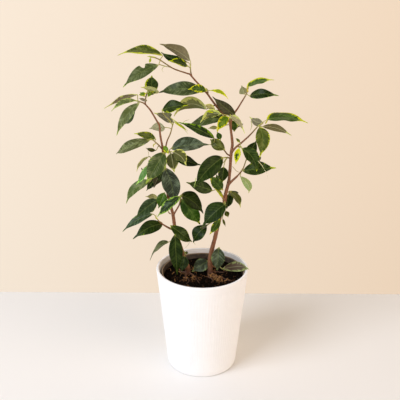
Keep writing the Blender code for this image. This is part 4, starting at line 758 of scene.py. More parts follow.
def add_shells(name, shells, materials, nodes):
    """One piece of closed shells: each has its rings, a layer for each band of faces and its paints."""
    points, faces, layers = [], [], []
    paints = {key: [] for key in shells[0][2]}
    count = 0
    for rings, layer, paint in shells:
        rows, around = rings.shape[:2]
        quads, fans = shell_faces(rows, around)
        points.append(with_ends(rings))
        faces += (quads + count).tolist() + (fans + count).tolist()
        layer = np.broadcast_to(layer, (rows - 1, around))
        layers.append(np.concatenate([layer.ravel(), layer[0], layer[-1]]))
        for key, values in paint.items():
            paints[key].append(with_ends(np.broadcast_to(values, (rows, around, np.shape(values)[-1]))))
        count += rows * around + 2
    paints = {key: np.concatenate(values) for key, values in paints.items()}
    return add_piece(name, np.concatenate(points), faces, materials, nodes,
                     np.concatenate(layers), paints)


def outline(share):
    """Half width of a blade at a share of its length, 1 at its widest.

    It is a sine raised to a power, of the share raised to a power. The drip tip at its end narrows as a
    square root.
    """
    lean = np.minimum(1.0, share / BLADE_END) ** BLADE_LEAN
    body = np.maximum(0.0, np.sin(math.pi * lean)) ** BLADE_FULLNESS
    tail = TAIL_WIDTH * np.sqrt((1.0 - share) / (1.0 - TAIL_START))
    return np.where(share < TAIL_START, body, np.minimum(np.maximum(body, tail), 1.0))


def blade_axes(base, tip, roll):
    """Length direction, side direction and upper normal of a blade."""
    along = unit(tip - base)
    to_eye = unit(EYE * CM - (base + tip) / 2.0)
    face = unit(to_eye - along * (to_eye @ along))
    turn = math.radians(roll)
    upper = face * math.cos(turn) + np.cross(along, face) * math.sin(turn)
    return along, np.cross(upper, along), upper


def nearest_on(routes, point):
    """Nearest place to a point on any of the routes past their first span, and the direction there."""
    starts = np.concatenate([route[1:-1] for route in routes])
    runs = np.concatenate([route[2:] for route in routes]) - starts
    shares = np.clip(((point - starts) * runs).sum(axis=1) / (runs ** 2).sum(axis=1), 0.0, STALK_LAST)
    places = starts + runs * shares[:, None]
    nearest = np.argmin(np.linalg.norm(places - point, axis=1))
    return places[nearest], unit(runs[nearest])


def stalk_path(start, leaving, base, arriving):
    """Hermite curve from the shoot, which leaves it at a slant and meets the blade along its midrib."""
    share = np.linspace(0.0, 1.0, STALK_ROWS, endpoint=False)[:, None]
    length = np.linalg.norm(base - start)
    first = unit(leaving + 1.5 * unit(base - start)) * length
    last = unit(arriving + unit(base - start)) * length
    return ((2 * share ** 3 - 3 * share ** 2 + 1) * start + (share ** 3 - 2 * share ** 2 + share) * first
            + (3 * share ** 2 - 2 * share ** 3) * base + (share ** 3 - share ** 2) * last)


def leaf_path(base, tip, roll, bow, sweep, routes):
    """Path of a leaf along its stalk and blade, the share of the blade there, its two axes and its length.

    The blade is the straight line from base to tip, pushed out by a parabola. Its rows are closer towards
    both ends, and the share is negative on the stalk.
    """
    along, side, upper = blade_axes(base, tip, roll)
    length = np.linalg.norm(tip - base)
    bend = (upper * bow + side * sweep) * length
    step = np.linspace(0.0, 1.0, BLADE_ROWS)
    share = 0.5 * step + 0.25 * (1.0 - np.cos(math.pi * step))
    blade = base + (tip - base) * share[:, None] + bend * (4.0 * share * (1.0 - share))[:, None]
    start, leaving = nearest_on(routes, base)
    path = np.concatenate([stalk_path(start, leaving, base, unit(tip - base + 4.0 * bend)), blade])
    stalk_share = np.linspace(-np.linalg.norm(base - start) / length, 0.0, STALK_ROWS, endpoint=False)
    return path, np.concatenate([stalk_share, share]), carried_axes(path, along, side), length


def half_widths(share, width, bite):
    """Half width of a leaf in metres at each share and station: its outline, no less than its stalk, and
    narrowed on one side where it is bitten."""
    least = STALK_RADIUS * (1.0 - 0.85 * smooth((share - 0.5) / 0.5))
    half = np.maximum(width * CM / 2.0 * outline(share.clip(0.0)), least)
    share_bitten, side_bitten, bitten = bite
    gap = np.exp(-((share - share_bitten) / BITE_SPREAD) ** 4) * smooth(side_bitten * ROUND / 0.3)
    return half * (1.0 - bitten * gap)


def leaf_paint(share, half, length, seed, tones, margins):
    """Paint of a leaf: its place in mm, its zone (margin, distance from the rim, share) and its tones.

    The green of its ground differs a little from leaf to leaf in hue and strength.
    """
    upper_tone, under_tone = tones
    left, right, end = margins
    edge = half / MM * (1.0 - np.abs(ROUND))
    near_tip = smooth((share - TIP_MARGIN_START) / (1.0 - TIP_MARGIN_START))
    margin = np.where(ROUND > 0.0, left, right) + end * near_tip
    flat = np.zeros_like(edge)
    ground, cloud, rim = (np.array(linear(tone)) for tone in UPPER_TONES[upper_tone])
    ground[:3] *= dice.uniform(0.88, 1.12, 3) * dice.uniform(0.9, 1.1)
    leafy = smooth(share / STALK_BLEND)[..., None]
    return {"place": np.stack([ROUND * half / MM, flat + share * length / MM, flat + seed], axis=-1),
            "zone": np.stack([margin - edge, edge, flat + share], axis=-1),
            "ground": np.array(linear(STALK_TONE)) * (1.0 - leafy) + ground * leafy,
            "cloud": cloud, "rim": rim, "below": np.array(linear(UNDER_TONES[under_tone]))}


def leaf_shell(leaf, routes, bite):
    """One leaf: its stalk and blade as one form of rings.

    A ring is an ellipse, round on the stalk and a thin lens on the blade. On the blade it is lifted by a
    soft fold along the midrib, a cup, a slow wave at the rims, quilting and a raised midrib below.
    """
    base, tip, roll, width, bow, sweep, upper_tone, under_tone, *margins = leaf
    path, share, (sides, uppers), length = leaf_path(seen(base), seen(tip), roll, bow, sweep, routes)
    phase, waves, wave_size, cup, twist, seed, quilt_step, quilt_size = dice.uniform(LEAF_LEAST, LEAF_MOST)
    share = share[:, None]
    turn = twist * (share.clip(0.0) - 0.4)
    sides, uppers = sides * np.cos(turn) + uppers * np.sin(turn), uppers * np.cos(turn) - sides * np.sin(turn)

    half = half_widths(share, width, bite)
    leafy = smooth(share / STALK_BLEND)
    thick = STALK_RADIUS + (BLADE_HALF_THICKNESS - STALK_RADIUS) * leafy
    off = np.abs(ROUND)
    fold = BLADE_FOLD * (np.sqrt(off ** 2 + FOLD_ROUNDNESS) - math.sqrt(FOLD_ROUNDNESS)) + cup * off ** 2
    wave = wave_size * off ** 2 * np.sin(math.tau * (waves * share + phase + 0.2 * np.sign(ROUND)))
    slant = (share * length - VEIN_SLANT * half * off) / MM
    quilt = np.sin(math.tau * slant / quilt_step + seed + 2.0 * np.sign(ROUND)) * off * (1.0 - off ** 4)
    quilt = quilt * quilt_size * MM * (1.0 - share.clip(0.0))
    rib = np.exp(-(off * half / RIB_REACH) ** 2) * np.where(FACING > 0.0, -RIB_GROOVE, -RIB_RIDGE)
    rib = rib * (1.0 - 0.7 * share)
    lens = thick * FACING * np.sqrt(1.0 - off ** 2)
    lift = leafy * (half * (fold + wave) + quilt + rib - thick) + lens
    rings = path[:, None] + sides[:, None] * (half * ROUND)[..., None] + uppers[:, None] * lift[..., None]

    sides_of_ring = np.where(np.arange(len(ROUND)) < len(ACROSS) - 1, UPPER_SIDE, UNDERSIDE)
    layer = np.tile(sides_of_ring, (len(path) - 1, 1))
    layer[:STALK_ROWS] = STALK
    return rings, layer, leaf_paint(share, half, length, seed, (upper_tone, under_tone), margins)


def stem_paint(rings, seed, tone_start, tone_end):
    """Paint of a shoot or bud: its place round and along in mm, and a tone that goes from start to end."""
    rows, around = rings.shape[:2]
    run = run_along(rings.mean(axis=1))
    girth = math.pi * np.linalg.norm(rings[0, 0] - rings[0, around // 2])
    turned = girth * np.linspace(0.0, 1.0, around, endpoint=False)
    place = np.stack(np.broadcast_arrays(turned / MM, run[:, None] / MM, seed), axis=-1)
    tone = blended(tone_start, tone_end, smooth(run / run[-1])[:, None, None])
    zone = np.zeros((rows, around, 3))
    return {"place": place, "zone": zone, "ground": tone, "cloud": tone, "rim": tone, "below": tone}


def shoot_shells(route):
    """A young shoot as a tapering tube with low rings at its nodes, and the pointed bud at its end, which
    bends down as a parabola."""
    path = smooth_path(route, 8)
    share = np.linspace(0.0, 1.0, len(path))
    radii = SHOOT_RADIUS * (1.0 - SHOOT_TAPER * share) * (1.0 + SHOOT_NODE_SWELL * np.cos(22.0 * share) ** 8)
    main = unit(path[-1] - path[0])
    shoot = round_rings(path, radii, SHOOT_SIDES, main)
    ahead = unit(path[-1] - path[-2])
    reach = np.linspace(0.0, 1.0, BUD_ROWS)[:, None]
    bud_path = path[-1] + ahead * reach * BUD_LENGTH + np.array((0.0, 0.0, -BUD_DROOP)) * reach ** 2
    bud_radii = SHOOT_RADIUS * 0.8 * (1.0 - reach[:, 0] ** 1.6) + 0.12 * MM
    bud = round_rings(bud_path, bud_radii, SHOOT_SIDES, ahead)
    seed = dice.uniform(0.0, 100.0)
    return [(shoot, STALK, stem_paint(shoot, seed, "774c2a", "8c7c3a")),
            (bud, STALK, stem_paint(bud, seed, "8f9a3c", "c3c04a"))]


def thread_shell(route, first_depth, last_depth, thick, tone):
    """A bud, a withered thread or a bare stalk: a tube whose radius falls by the cube of its share."""
    right, down = np.array(route).T
    depths = np.linspace(first_depth, last_depth, len(route))
    path = smooth_path(seen(off_photo(right, down, depths)), 6)
    share = np.linspace(0.0, 1.0, len(path))
    radii = thick * MM * (1.0 - 0.85 * share ** 3)
    rings = round_rings(path, radii, THREAD_SIDES, unit(path[-1] - path[0]))
    return rings, STALK, stem_paint(rings, thick, tone, tone)


def leafy_spray(name, shoots, leaves, materials):
    """One spray: its shoots with their buds and its leaves, in place of the plain solid of that name."""
    routes = [seen(shoot) for shoot in shoots]
    shells = []
    for route in routes:
        shells += shoot_shells(route)
    for leaf in leaves:
        shells.append(leaf_shell(leaf, routes, BITES.get(leaf[0], NO_BITE)))
    for base, tip, *form in BRACTS.get(name, ()):
        shells.append(leaf_shell((off_photo(*base), off_photo(*tip), *form), routes, NO_BITE))
    for thread in THREADS.get(name, ()):
        shells.append(thread_shell(*thread))
    add_shells(name + "_leaves", shells, materials, [name])


def woody_paint(rings, seed):
    """Paint of bark: its place round and along in mm with a seed, and how young it is, which is how thin."""
    rows, around = rings.shape[:2]
    run = run_along(rings.mean(axis=1))
    angle = np.linspace(0.0, math.tau, around, endpoint=False)
    width = np.linalg.norm(rings[:, 0] - rings[:, around // 2], axis=1)[:, None] / 2.0
    place = np.stack([np.cos(angle) * width / MM, np.sin(angle) * width / MM,
                      np.broadcast_to(run[:, None] / MM + seed, (rows, around))], axis=-1)
    youth = 1.0 - smooth(width / (3.2 * MM))
    zone = np.stack(np.broadcast_arrays(youth, seed, np.zeros((rows, around))), axis=-1)
    return {"place": place, "zone": zone}


def wood_shell(knots, flare):
    """A woody tube: smooth between its knots, with a low ring every 1 to 2 cm where leaves grew, and a
    collar at its root that swells by a share and dies away as an exponential. Sines along it and of three
    and five times the angle round it make it gently uneven."""
    path = smooth_path(knots, 10)
    run = run_along(path[:, :3]) / CM
    phase, lobe = dice.uniform(0.0, math.tau, 2)
    node = np.cos(run * 2.5 + 0.8 * np.sin(run * 0.9 + phase)) ** 24
    uneven = 1.0 + WOOD_NODE_SWELL * node + 0.03 * np.sin(run * 3.1 + phase) + flare * np.exp(-run / 0.45)
    angle = np.linspace(0.0, math.tau, WOOD_SIDES, endpoint=False)
    lumps = 0.035 * np.sin(3.0 * angle + lobe + 0.7 * run[:, None])
    lumps += 0.02 * np.sin(5.0 * angle - run[:, None])
    main = unit(path[-1, :3] - path[0, :3])
    rings = round_rings(path[:, :3], path[:, 3:] * uneven[:, None] * (1.0 + lumps), WOOD_SIDES, main)
    return rings, 0, woody_paint(rings, phase * 50.0)


def drafted_wood(knots):
    """Real places and radii, in metres, of drafted wood."""
    knots = np.array(knots)
    return np.hstack([seen(knots[:, :3]), knots[:, 3:] * MM])


def root_shell(route, thick):
    """A root that leaves the stem, runs over the soil in shallow bends and tapers to a fifth of its radius.

    Its middle line is a smooth curve plus a sine, three quarters of its radius above the soil's top level.
    """
    share = np.linspace(1.0, 0.2, len(route))
    radii = thick * MM * share
    knots = np.column_stack([np.array(route) * CM, SOIL_TOP * CM + radii * 0.75, radii])
    knots[0, 2] += 2.5 * MM
    path = smooth_path(knots, 12)
    run = np.linspace(0.0, 1.0, len(path))
    path[:, :2] += (0.5 * MM * np.sin(run * 26.0 + thick * 9.0) * np.sin(run * math.pi))[:, None]
    rings = round_rings(path[:, :3], path[:, 3], ROOT_SIDES, np.array((0.0, 0.0, 1.0)))
    return rings, 0, woody_paint(rings, thick * 31.0)


def woody_stem(node, trunk, branches, roots, bark):
    """One woody plant: the trunk with its swollen foot, its forks with their collars, and its roots."""
    above = drafted_wood(trunk)
    foot = above[0].copy()
    foot[2:] = STEM_FOOT_Z * CM, foot[3] * 0.95
    soil_line = above[0].copy()
    soil_line[2:] = (SOIL_TOP - 0.1) * CM, foot[3] * 1.12
    shells = [wood_shell(np.vstack([foot, soil_line, above]), 0.0)]
    shells += [wood_shell(drafted_wood(branch), FORK_COLLAR) for branch in branches]
    shells += [root_shell(*root) for root in roots]
    add_shells(node + "_wood", shells, [bark], [node])


def pot_radius(height):
    """Outer radius of the cover pot's straight taper at a height, in cm."""
    return POT_BASE_RADIUS + (POT_RIM_RADIUS - POT_BASE_RADIUS) * height / POT_HEIGHT


def arc(middle, radius, start, end, count):
    """Points of (radius, height) along a round edge, its angles in degrees."""
    angle = np.radians(np.linspace(start, end, count))
    return np.stack([middle[0] + radius * np.cos(angle), middle[1] + radius * np.sin(angle)], axis=-1)


def cover_pot(glaze):
    """The turned cover pot: flat foot, round heel, straight ribbed wall, round lip, cavity and floor.

    A rib's outline round the pot is a cosine raised to a power, which leaves broad ribs and narrow grooves.
    """
    wall_z = np.concatenate([(0.5, 0.7, 0.8), np.linspace(RIB_LOW, RIB_LOW + 0.35, 6),
                             np.linspace(2.0, 13.8, 12), np.linspace(RIB_HIGH - 0.35, RIB_HIGH, 6),
                             (14.95, 15.2, 15.4)])
    lip_radius = 0.15
    lip_z = POT_HEIGHT - lip_radius
    outer, inner = pot_radius(lip_z), pot_radius(lip_z) - POT_WALL + 0.02
    cavity_z = np.array((15.3, 13.0, 10.0, 7.0, 4.0, 1.6))
    foot = [(0.4, 0.0), (2.6, 0.0), (4.6, 0.0)]
    heel = arc((pot_radius(0.3) - 0.33, 0.3), 0.3, -88.0, -8.0, 6)
    wall = np.stack([pot_radius(wall_z), wall_z], axis=-1)
    profile = np.concatenate([
        foot, heel, wall,
        arc((outer - lip_radius, lip_z), lip_radius, 0.0, 90.0, 6),
        arc((inner + lip_radius, lip_z), lip_radius, 90.0, 180.0, 6),
        np.stack([pot_radius(cavity_z) - POT_WALL, cavity_z], axis=-1),
        arc((pot_radius(1.0) - POT_WALL - 0.5, 1.0), 0.5, 0.0, -88.0, 6),
        [(2.4, POT_FLOOR), (0.4, POT_FLOOR)],
    ])
    steps = POT_RIBS * STEPS_A_RIB
    angle = np.linspace(0.0, math.tau, steps, endpoint=False)
    groove = (0.5 - 0.5 * np.cos(POT_RIBS * angle)) ** RIB_SHARPNESS
    height = profile[:, 1:2]
    outside = np.arange(len(profile))[:, None] < len(foot) + len(heel) + len(wall)
    ribbed = smooth((height - RIB_LOW) / 0.3) * smooth((RIB_HIGH - height) / 0.3) * outside
    rings = turned_rings(profile, steps, swell=-RIB_DEPTH * groove * ribbed)
    add_shells("ribbed_cover_pot", [(rings, 0, {})], [glaze], ["cover_pot"])


def grow_pot(plastic):
    """The turned nursery pot: thin tapered wall, rim band with a rolled edge, drain holes in its floor."""
    base, wall = GROW_BASE_Z, GROW_WALL
    band = GROW_RIM_Z - GROW_BAND_HEIGHT
    roll = 0.075
    top = GROW_RIM_Z - roll
    profile = np.concatenate([
        [(0.2, base), (2.0, base), (3.6, base)],
        arc((GROW_BASE_RADIUS - 0.2, base + 0.2), 0.2, -90.0, -10.0, 5),
        [(GROW_BASE_RADIUS + 0.5, base + 4.4), (GROW_BASE_RADIUS + 1.0, base + 8.8),
         (GROW_BAND_RADIUS - 0.08, band - 0.06), (GROW_BAND_RADIUS + 0.02, band - 0.01),
         (GROW_BAND_RADIUS + 0.06, band + 0.04), (GROW_RIM_RADIUS - 0.05, top - 0.25),
         (GROW_RIM_RADIUS - 0.045, top - 0.12)],
        arc((GROW_RIM_RADIUS - roll, top), roll, -50.0, 200.0, 12),
        [(GROW_RIM_RADIUS - 0.19, top - 0.12), (GROW_BAND_RADIUS - wall, band),
         (GROW_BASE_RADIUS + 0.5 - wall, base + 4.4), (GROW_BASE_RADIUS - wall, base + 0.35)],
        arc((GROW_BASE_RADIUS - wall - 0.2, base + wall + 0.2), 0.2, -10.0, -90.0, 5),
        [(2.0, base + wall), (0.2, base + wall)],
    ])
    rings = turned_rings(profile, GROW_STEPS, GROW_SHIFT)
    pot = add_shells("nursery_pot", [(rings, 0, {})], [plastic], ["grow_pot"])
    drains = bpy.data.collections.new("drains")
    for turn in np.arange(DRAIN_COUNT) * math.tau / DRAIN_COUNT:
        bpy.ops.mesh.primitive_cylinder_add(
            vertices=32, radius=DRAIN_RADIUS * CM, depth=0.5 * CM,
            location=((DRAIN_CIRCLE * math.cos(turn) + GROW_SHIFT) * CM, DRAIN_CIRCLE * math.sin(turn) * CM,
                      (base + wall / 2.0) * CM))
        drains.objects.link(bpy.context.object)
    cut = pot.modifiers.new("drains", "BOOLEAN")
    cut.operand_type = "COLLECTION"
    cut.collection = drains
    bpy.context.view_layer.update()
    pot.data = bpy.data.meshes.new_from_object(pot.evaluated_get(bpy.context.evaluated_depsgraph_get()))
    pot.modifiers.clear()
    for drain in list(drains.objects):
        bpy.data.objects.remove(drain)
    bpy.data.collections.remove(drains)


def soil_height(x, y):
    """Height of the soil in cm: slow waves below the top level, as in the solid, and finer lumps on them."""
    waves = np.sin(2.1 * x + 0.7 * y) * np.cos(1.7 * y - 0.9 * x) + 0.6 * np.sin(3.3 * x - 2.4 * y + 1.1)
    lumps = np.sin(9.1 * x + 2.0 * np.sin(5.3 * y)) * np.sin(8.3 * y + 2.0 * np.sin(6.1 * x))
    return SOIL_TOP - SOIL_RELIEF * (0.5 + waves / 3.2) + 0.035 * lumps


def soil(peat):
    """The body of peat: turned sides that fit the grow pot, and a top of uneven height."""
    edge = SOIL_EDGE - 0.03
    reach = np.linspace(edge, 0.06, SOIL_ROWS)
    low = GROW_BASE_Z + GROW_WALL + 0.05
    profile = np.concatenate([[(0.2, low), (SOIL_FOOT_RADIUS, low), (4.2, low + 0.4),
                               (GROW_BAND_RADIUS - 0.2, 13.9)],
                              np.stack([reach, np.full(SOIL_ROWS, SOIL_TOP)], axis=-1)])
    rings = turned_rings(profile, SOIL_STEPS, GROW_SHIFT)
    top = rings[-SOIL_ROWS:]
    top[..., 2] = soil_height(top[..., 0] / CM, top[..., 1] / CM) * CM
    add_shells("peat_bed", [(rings, 0, {})], [peat], ["soil"])


def lump_shape():
    """Corners and faces of a 20-sided lump of radius 1."""
    lump = bmesh.new()
    bmesh.ops.create_icosphere(lump, subdivisions=1, radius=1.0)
    mesh = bpy.data.meshes.new("lump")
    lump.to_mesh(mesh)
    lump.free()
    corners, faces = np.empty(3 * len(mesh.vertices)), np.empty(len(mesh.loops), np.int32)
    mesh.vertices.foreach_get("co", corners)
    mesh.loops.foreach_get("vertex_index", faces)
    bpy.data.meshes.remove(mesh)
    return corners.reshape(-1, 3), faces.reshape(-1, 3)


def strewn(name, count, sizes, stretch, lift, material, tones):
    """Lumps strewn evenly over the soil: each is the 20-sided lump, stretched, turned at random and sunk.

    Even draws raised to a power make the small and the dark lumps the most common.
    """
    corners, faces = lump_shape()
    reach = (SOIL_EDGE - 0.15) * np.sqrt(dice.uniform(0.0, 1.0, count))
    angle = dice.uniform(0.0, math.tau, count)
    x, y = reach * np.cos(angle) + GROW_SHIFT, reach * np.sin(angle)
    size = sizes[0] * (sizes[1] / sizes[0]) ** (dice.uniform(0.0, 1.0, count) ** 2.2)
    turns, _ = np.linalg.qr(dice.normal(size=(count, 3, 3)))
    turns *= np.linalg.det(turns)[:, None, None]
    shape = corners * dice.uniform(0.75, 1.2, (count, len(corners), 1)) * np.array(stretch)
    points = np.einsum("nij,nkj->nki", turns, shape) * size[:, None, None] * MM
    places = np.stack([x * CM, y * CM, soil_height(x, y) * CM + size * lift * MM], axis=-1)
    points += places[:, None]
    tone = blended(*tones, dice.uniform(0.0, 1.0, (count, 1)) ** 1.5)
    order = (faces[None] + len(corners) * np.arange(count)[:, None, None]).reshape(-1, 3)
    add_piece(name, points.reshape(-1, 3), order.tolist(), [material], [], None,
              {"ground": np.repeat(tone, len(corners), axis=0)})


def curly_roots(material):
    """Dry curled rootlets and bark shreds on the soil: each turns as it goes, so its heading is a line plus
    a wave, and its places are the running sum of steps along that heading."""
    shells = []
    middle = np.array((GROW_SHIFT, 0.0))
    share = np.linspace(0.0, 1.0, ROOTLET_POINTS)
    for patch_x, patch_y, spread, number in ROOT_PATCHES:
        for _ in range(number):
            start = dice.normal((patch_x, patch_y), spread)
            heading, curl, wobble, length = dice.uniform((0.0, -9.0, 0.5, 0.8), (math.tau, 9.0, 1.6, 2.2))
            turn = heading + curl * share + wobble * np.sin(share * 14.0 + heading)
            steps = np.stack([np.cos(turn), np.sin(turn)], axis=-1) * length / ROOTLET_POINTS
            route = np.cumsum(steps, axis=0) + start - middle
            reach = np.linalg.norm(route, axis=1).max()
            route = route * min(1.0, (SOIL_EDGE - 0.2) / reach) + middle
            thick = dice.uniform(0.22, 0.7)
            radii = thick * (1.0 - 0.7 * share) * MM
            hop = dice.uniform(0.1, 0.5) * np.sin(math.pi * share) ** 2
            height = soil_height(route[:, 0], route[:, 1]) + hop + thick * 0.06
            path = np.column_stack([route, height]) * CM
            rings = round_rings(path, radii, ROOTLET_SIDES, np.array((0.0, 0.0, 1.0)))
            shells.append((rings, 0, {"ground": blended("5a3c26", "b08250", dice.uniform(0.0, 1.0))}))
    add_shells("surface_rootlets", shells, [material], [])


def feed(material, node, inputs):
    """Give each input of a node a value, or link it to another node's output."""
    for key, value in inputs.items():
        if isinstance(value, bpy.types.NodeSocket):
            material.node_tree.links.new(value, node.inputs[key])
        else:
            node.inputs[key].default_value = value


def add_node(material, kind, inputs=None, **settings):
    """Add a node to a material, with its properties set and its inputs fed.

    A colour mix takes its share as input 0 and its two colours as 6 and 7, and gives output 2.
    """
    node = material.node_tree.nodes.new("ShaderNode" + kind)
    for key, value in settings.items():
        setattr(node, key, value)
    feed(material, node, inputs or {})
    return node


def new_material(name):
    """An empty node material and its shader, which is linked to the output."""
    material = bpy.data.materials.new(name)
    material.use_nodes = True
    shader = material.node_tree.nodes["Principled BSDF"]
    return material, shader


def satin_glaze():
    """Stoneware dipped in a white satin glaze: a soft broad highlight, slightly uneven where it pooled."""
    material, shader = new_material("white_satin_glaze")
    place = add_node(material, "TexCoord").outputs["Object"]
    pooled = add_node(material, "TexNoise", {"Vector": place, "Scale": 1.0 / GLAZE_POOL, "Detail": 3.0})
    pooled = pooled.outputs["Fac"]
    tint = add_node(material, "Mix", {0: pooled, 6: linear("f8f7f6"), 7: linear("f3f2f0")}, data_type="RGBA")
    rough = add_node(material, "MapRange", {"Value": pooled, "To Min": 0.38, "To Max": 0.5})
    bump = add_node(material, "Bump", {"Height": pooled, "Strength": 0.12, "Distance": 0.3 * MM})
    feed(material, shader, {"Base Color": tint.outputs[2], "Roughness": rough.outputs[0],
                            "Normal": bump.outputs[0]})
    return material


def nursery_plastic():
    """Injection-moulded polypropylene: dull taupe, scuffed paler by watering and handling, and painted
    paler from one height up, a painted highlight where the rolled rim catches the light.
    """
    material, shader = new_material("taupe_polypropylene")
    place = add_node(material, "TexCoord").outputs["Object"]
    dust = add_node(material, "TexNoise", {"Vector": place, "Scale": 1.0 / DUST_PATCH, "Detail": 5.0})
    dust = dust.outputs["Fac"]
    dusty = add_node(material, "MapRange", {"Value": dust, "From Min": 0.45, "From Max": 0.75},
                     interpolation_type="SMOOTHSTEP").outputs[0]
    tint = add_node(material, "Mix", {0: dusty, 6: linear("3c3026"), 7: linear("645440")}, data_type="RGBA")
    height = add_node(material, "SeparateXYZ", {0: place}).outputs["Z"]
    # Painted highlight: the rim is painted paler from one height up, where the rolled rim catches the light
    rim_highlight = add_node(material, "MapRange", {"Value": height, "From Min": RIM_HIGHLIGHT_FROM_Z * CM,
                                           "From Max": RIM_HIGHLIGHT_FULL_Z * CM, "To Max": 0.6}).outputs[0]
    tint = add_node(material, "Mix", {0: rim_highlight, 6: tint.outputs[2], 7: linear("b9a184")}, data_type="RGBA")
    rough = add_node(material, "MapRange", {"Value": dust, "To Min": 0.4, "To Max": 0.65})
    feed(material, shader, {"Base Color": tint.outputs[2], "Roughness": rough.outputs[0]})
    return material


def moist_peat():
    """Moist black peat: matt crumbs with near-black pits and warmer fibres."""
    material, shader = new_material("moist_peat")
    place = add_node(material, "TexCoord").outputs["Object"]
    crumb = add_node(material, "TexNoise", {"Vector": place, "Scale": 1.0 / PEAT_CRUMB, "Detail": 6.0})
    crumb = crumb.outputs["Fac"]
    fibre = add_node(material, "TexVoronoi", {"Vector": place, "Scale": 1.0 / PEAT_FIBRE}).outputs["Distance"]
    tint = add_node(material, "Mix", {0: crumb, 6: linear("030201"), 7: linear("120c06")}, data_type="RGBA")
    relief = add_node(material, "Math", {0: crumb, 1: fibre}, operation="ADD").outputs[0]
    bump = add_node(material, "Bump", {"Height": relief, "Strength": 0.9, "Distance": 1.2 * MM})
    feed(material, shader, {"Base Color": tint.outputs[2], "Roughness": 0.95, "Specular IOR Level": 0.03,
                            "Normal": bump.outputs[0]})
    return material


def strewn_litter(name, roughness):
    """Loose peat crumbs, bark and dry rootlets: matt and fibrous, each piece in its own painted tone."""
    material, shader = new_material(name)
    place = add_node(material, "TexCoord").outputs["Object"]
    own = add_node(material, "Attribute", attribute_name="ground").outputs["Color"]
    grain = add_node(material, "TexNoise", {"Vector": place, "Scale": 1.0 / LITTER_GRAIN, "Detail": 3.0})
    grain = grain.outputs["Fac"]
    shade = add_node(material, "MapRange", {"Value": grain, "To Min": 0.55, "To Max": 1.4}).outputs[0]
    tint = add_node(material, "VectorMath", {0: own, "Scale": shade}, operation="SCALE")
    bump = add_node(material, "Bump", {"Height": grain, "Strength": 0.6, "Distance": 0.4 * MM})
    feed(material, shader, {"Base Color": tint.outputs[0], "Roughness": roughness, "Specular IOR Level": 0.08,
                            "Normal": bump.outputs[0]})
    return material


def young_bark():
    """Thin smooth bark of a young fig: reddish brown with fine lengthwise cracks and pale breathing pores,
    greyer on the old foot and olive on the youngest wood."""
    material, shader = new_material("fig_bark")
    place = add_node(material, "Attribute", attribute_name="place").outputs["Vector"]
    zone = add_node(material, "Attribute", attribute_name="zone").outputs["Vector"]
    youth = add_node(material, "SeparateXYZ", {0: zone}).outputs["X"]
    grained = add_node(material, "VectorMath", {0: place, 1: BARK_CRACK}, operation="DIVIDE").outputs[0]
    streak = add_node(material, "TexNoise", {"Vector": grained, "Scale": 1.0, "Detail": 5.0}).outputs["Fac"]
    blotch = add_node(material, "TexNoise", {"Vector": place, "Scale": 1.0 / BARK_BLOTCH, "Detail": 2.0})
    blotch = blotch.outputs["Fac"]
    pore = add_node(material, "VectorMath", {0: place, 1: BARK_PORE}, operation="DIVIDE").outputs[0]
    pore = add_node(material, "TexVoronoi", {"Vector": pore, "Scale": 1.0}).outputs["Distance"]
    pored = add_node(material, "MapRange", {"Value": pore, "From Min": 0.3, "From Max": 0.12},
                     interpolation_type="SMOOTHSTEP").outputs[0]
    old = add_node(material, "Mix", {0: streak, 6: linear("4a2a1a"), 7: linear("ac7048")}, data_type="RGBA")
    fresh = add_node(material, "Mix", {0: streak, 6: linear("4f2814"), 7: linear("9c6232")}, data_type="RGBA")
    aged = add_node(material, "Mix", {0: youth, 6: old.outputs[2], 7: fresh.outputs[2]}, data_type="RGBA")
    patchy = add_node(material, "MapRange", {"Value": blotch, "To Min": 0.72, "To Max": 1.25}).outputs[0]
    toned = add_node(material, "VectorMath", {0: aged.outputs[2], "Scale": patchy}, operation="SCALE")
    faint = add_node(material, "Math", {0: pored, 1: 0.55}, operation="MULTIPLY").outputs[0]
    dotted = add_node(material, "Mix", {0: faint, 6: toned.outputs[0], 7: linear("c7a283")},
                      data_type="RGBA")
    height = add_node(material, "TexCoord").outputs["Object"]
    height = add_node(material, "SeparateXYZ", {0: height}).outputs["Z"]
    stained = add_node(material, "MapRange", {"Value": height, "From Min": STAIN_TOP_Z * CM,
                                              "From Max": STAIN_FULL_Z * CM, "To Max": 0.7},
                       interpolation_type="SMOOTHSTEP").outputs[0]
    dotted = add_node(material, "Mix", {0: stained, 6: dotted.outputs[2], 7: linear("2b1a10")},
                      data_type="RGBA")
    relief = add_node(material, "Math", {0: streak, 1: pored}, operation="ADD").outputs[0]
    bump = add_node(material, "Bump", {"Height": relief, "Strength": 0.45, "Distance": 0.35 * MM})
    feed(material, shader, {"Base Color": dotted.outputs[2], "Roughness": 0.62, "Normal": bump.outputs[0]})
    return material


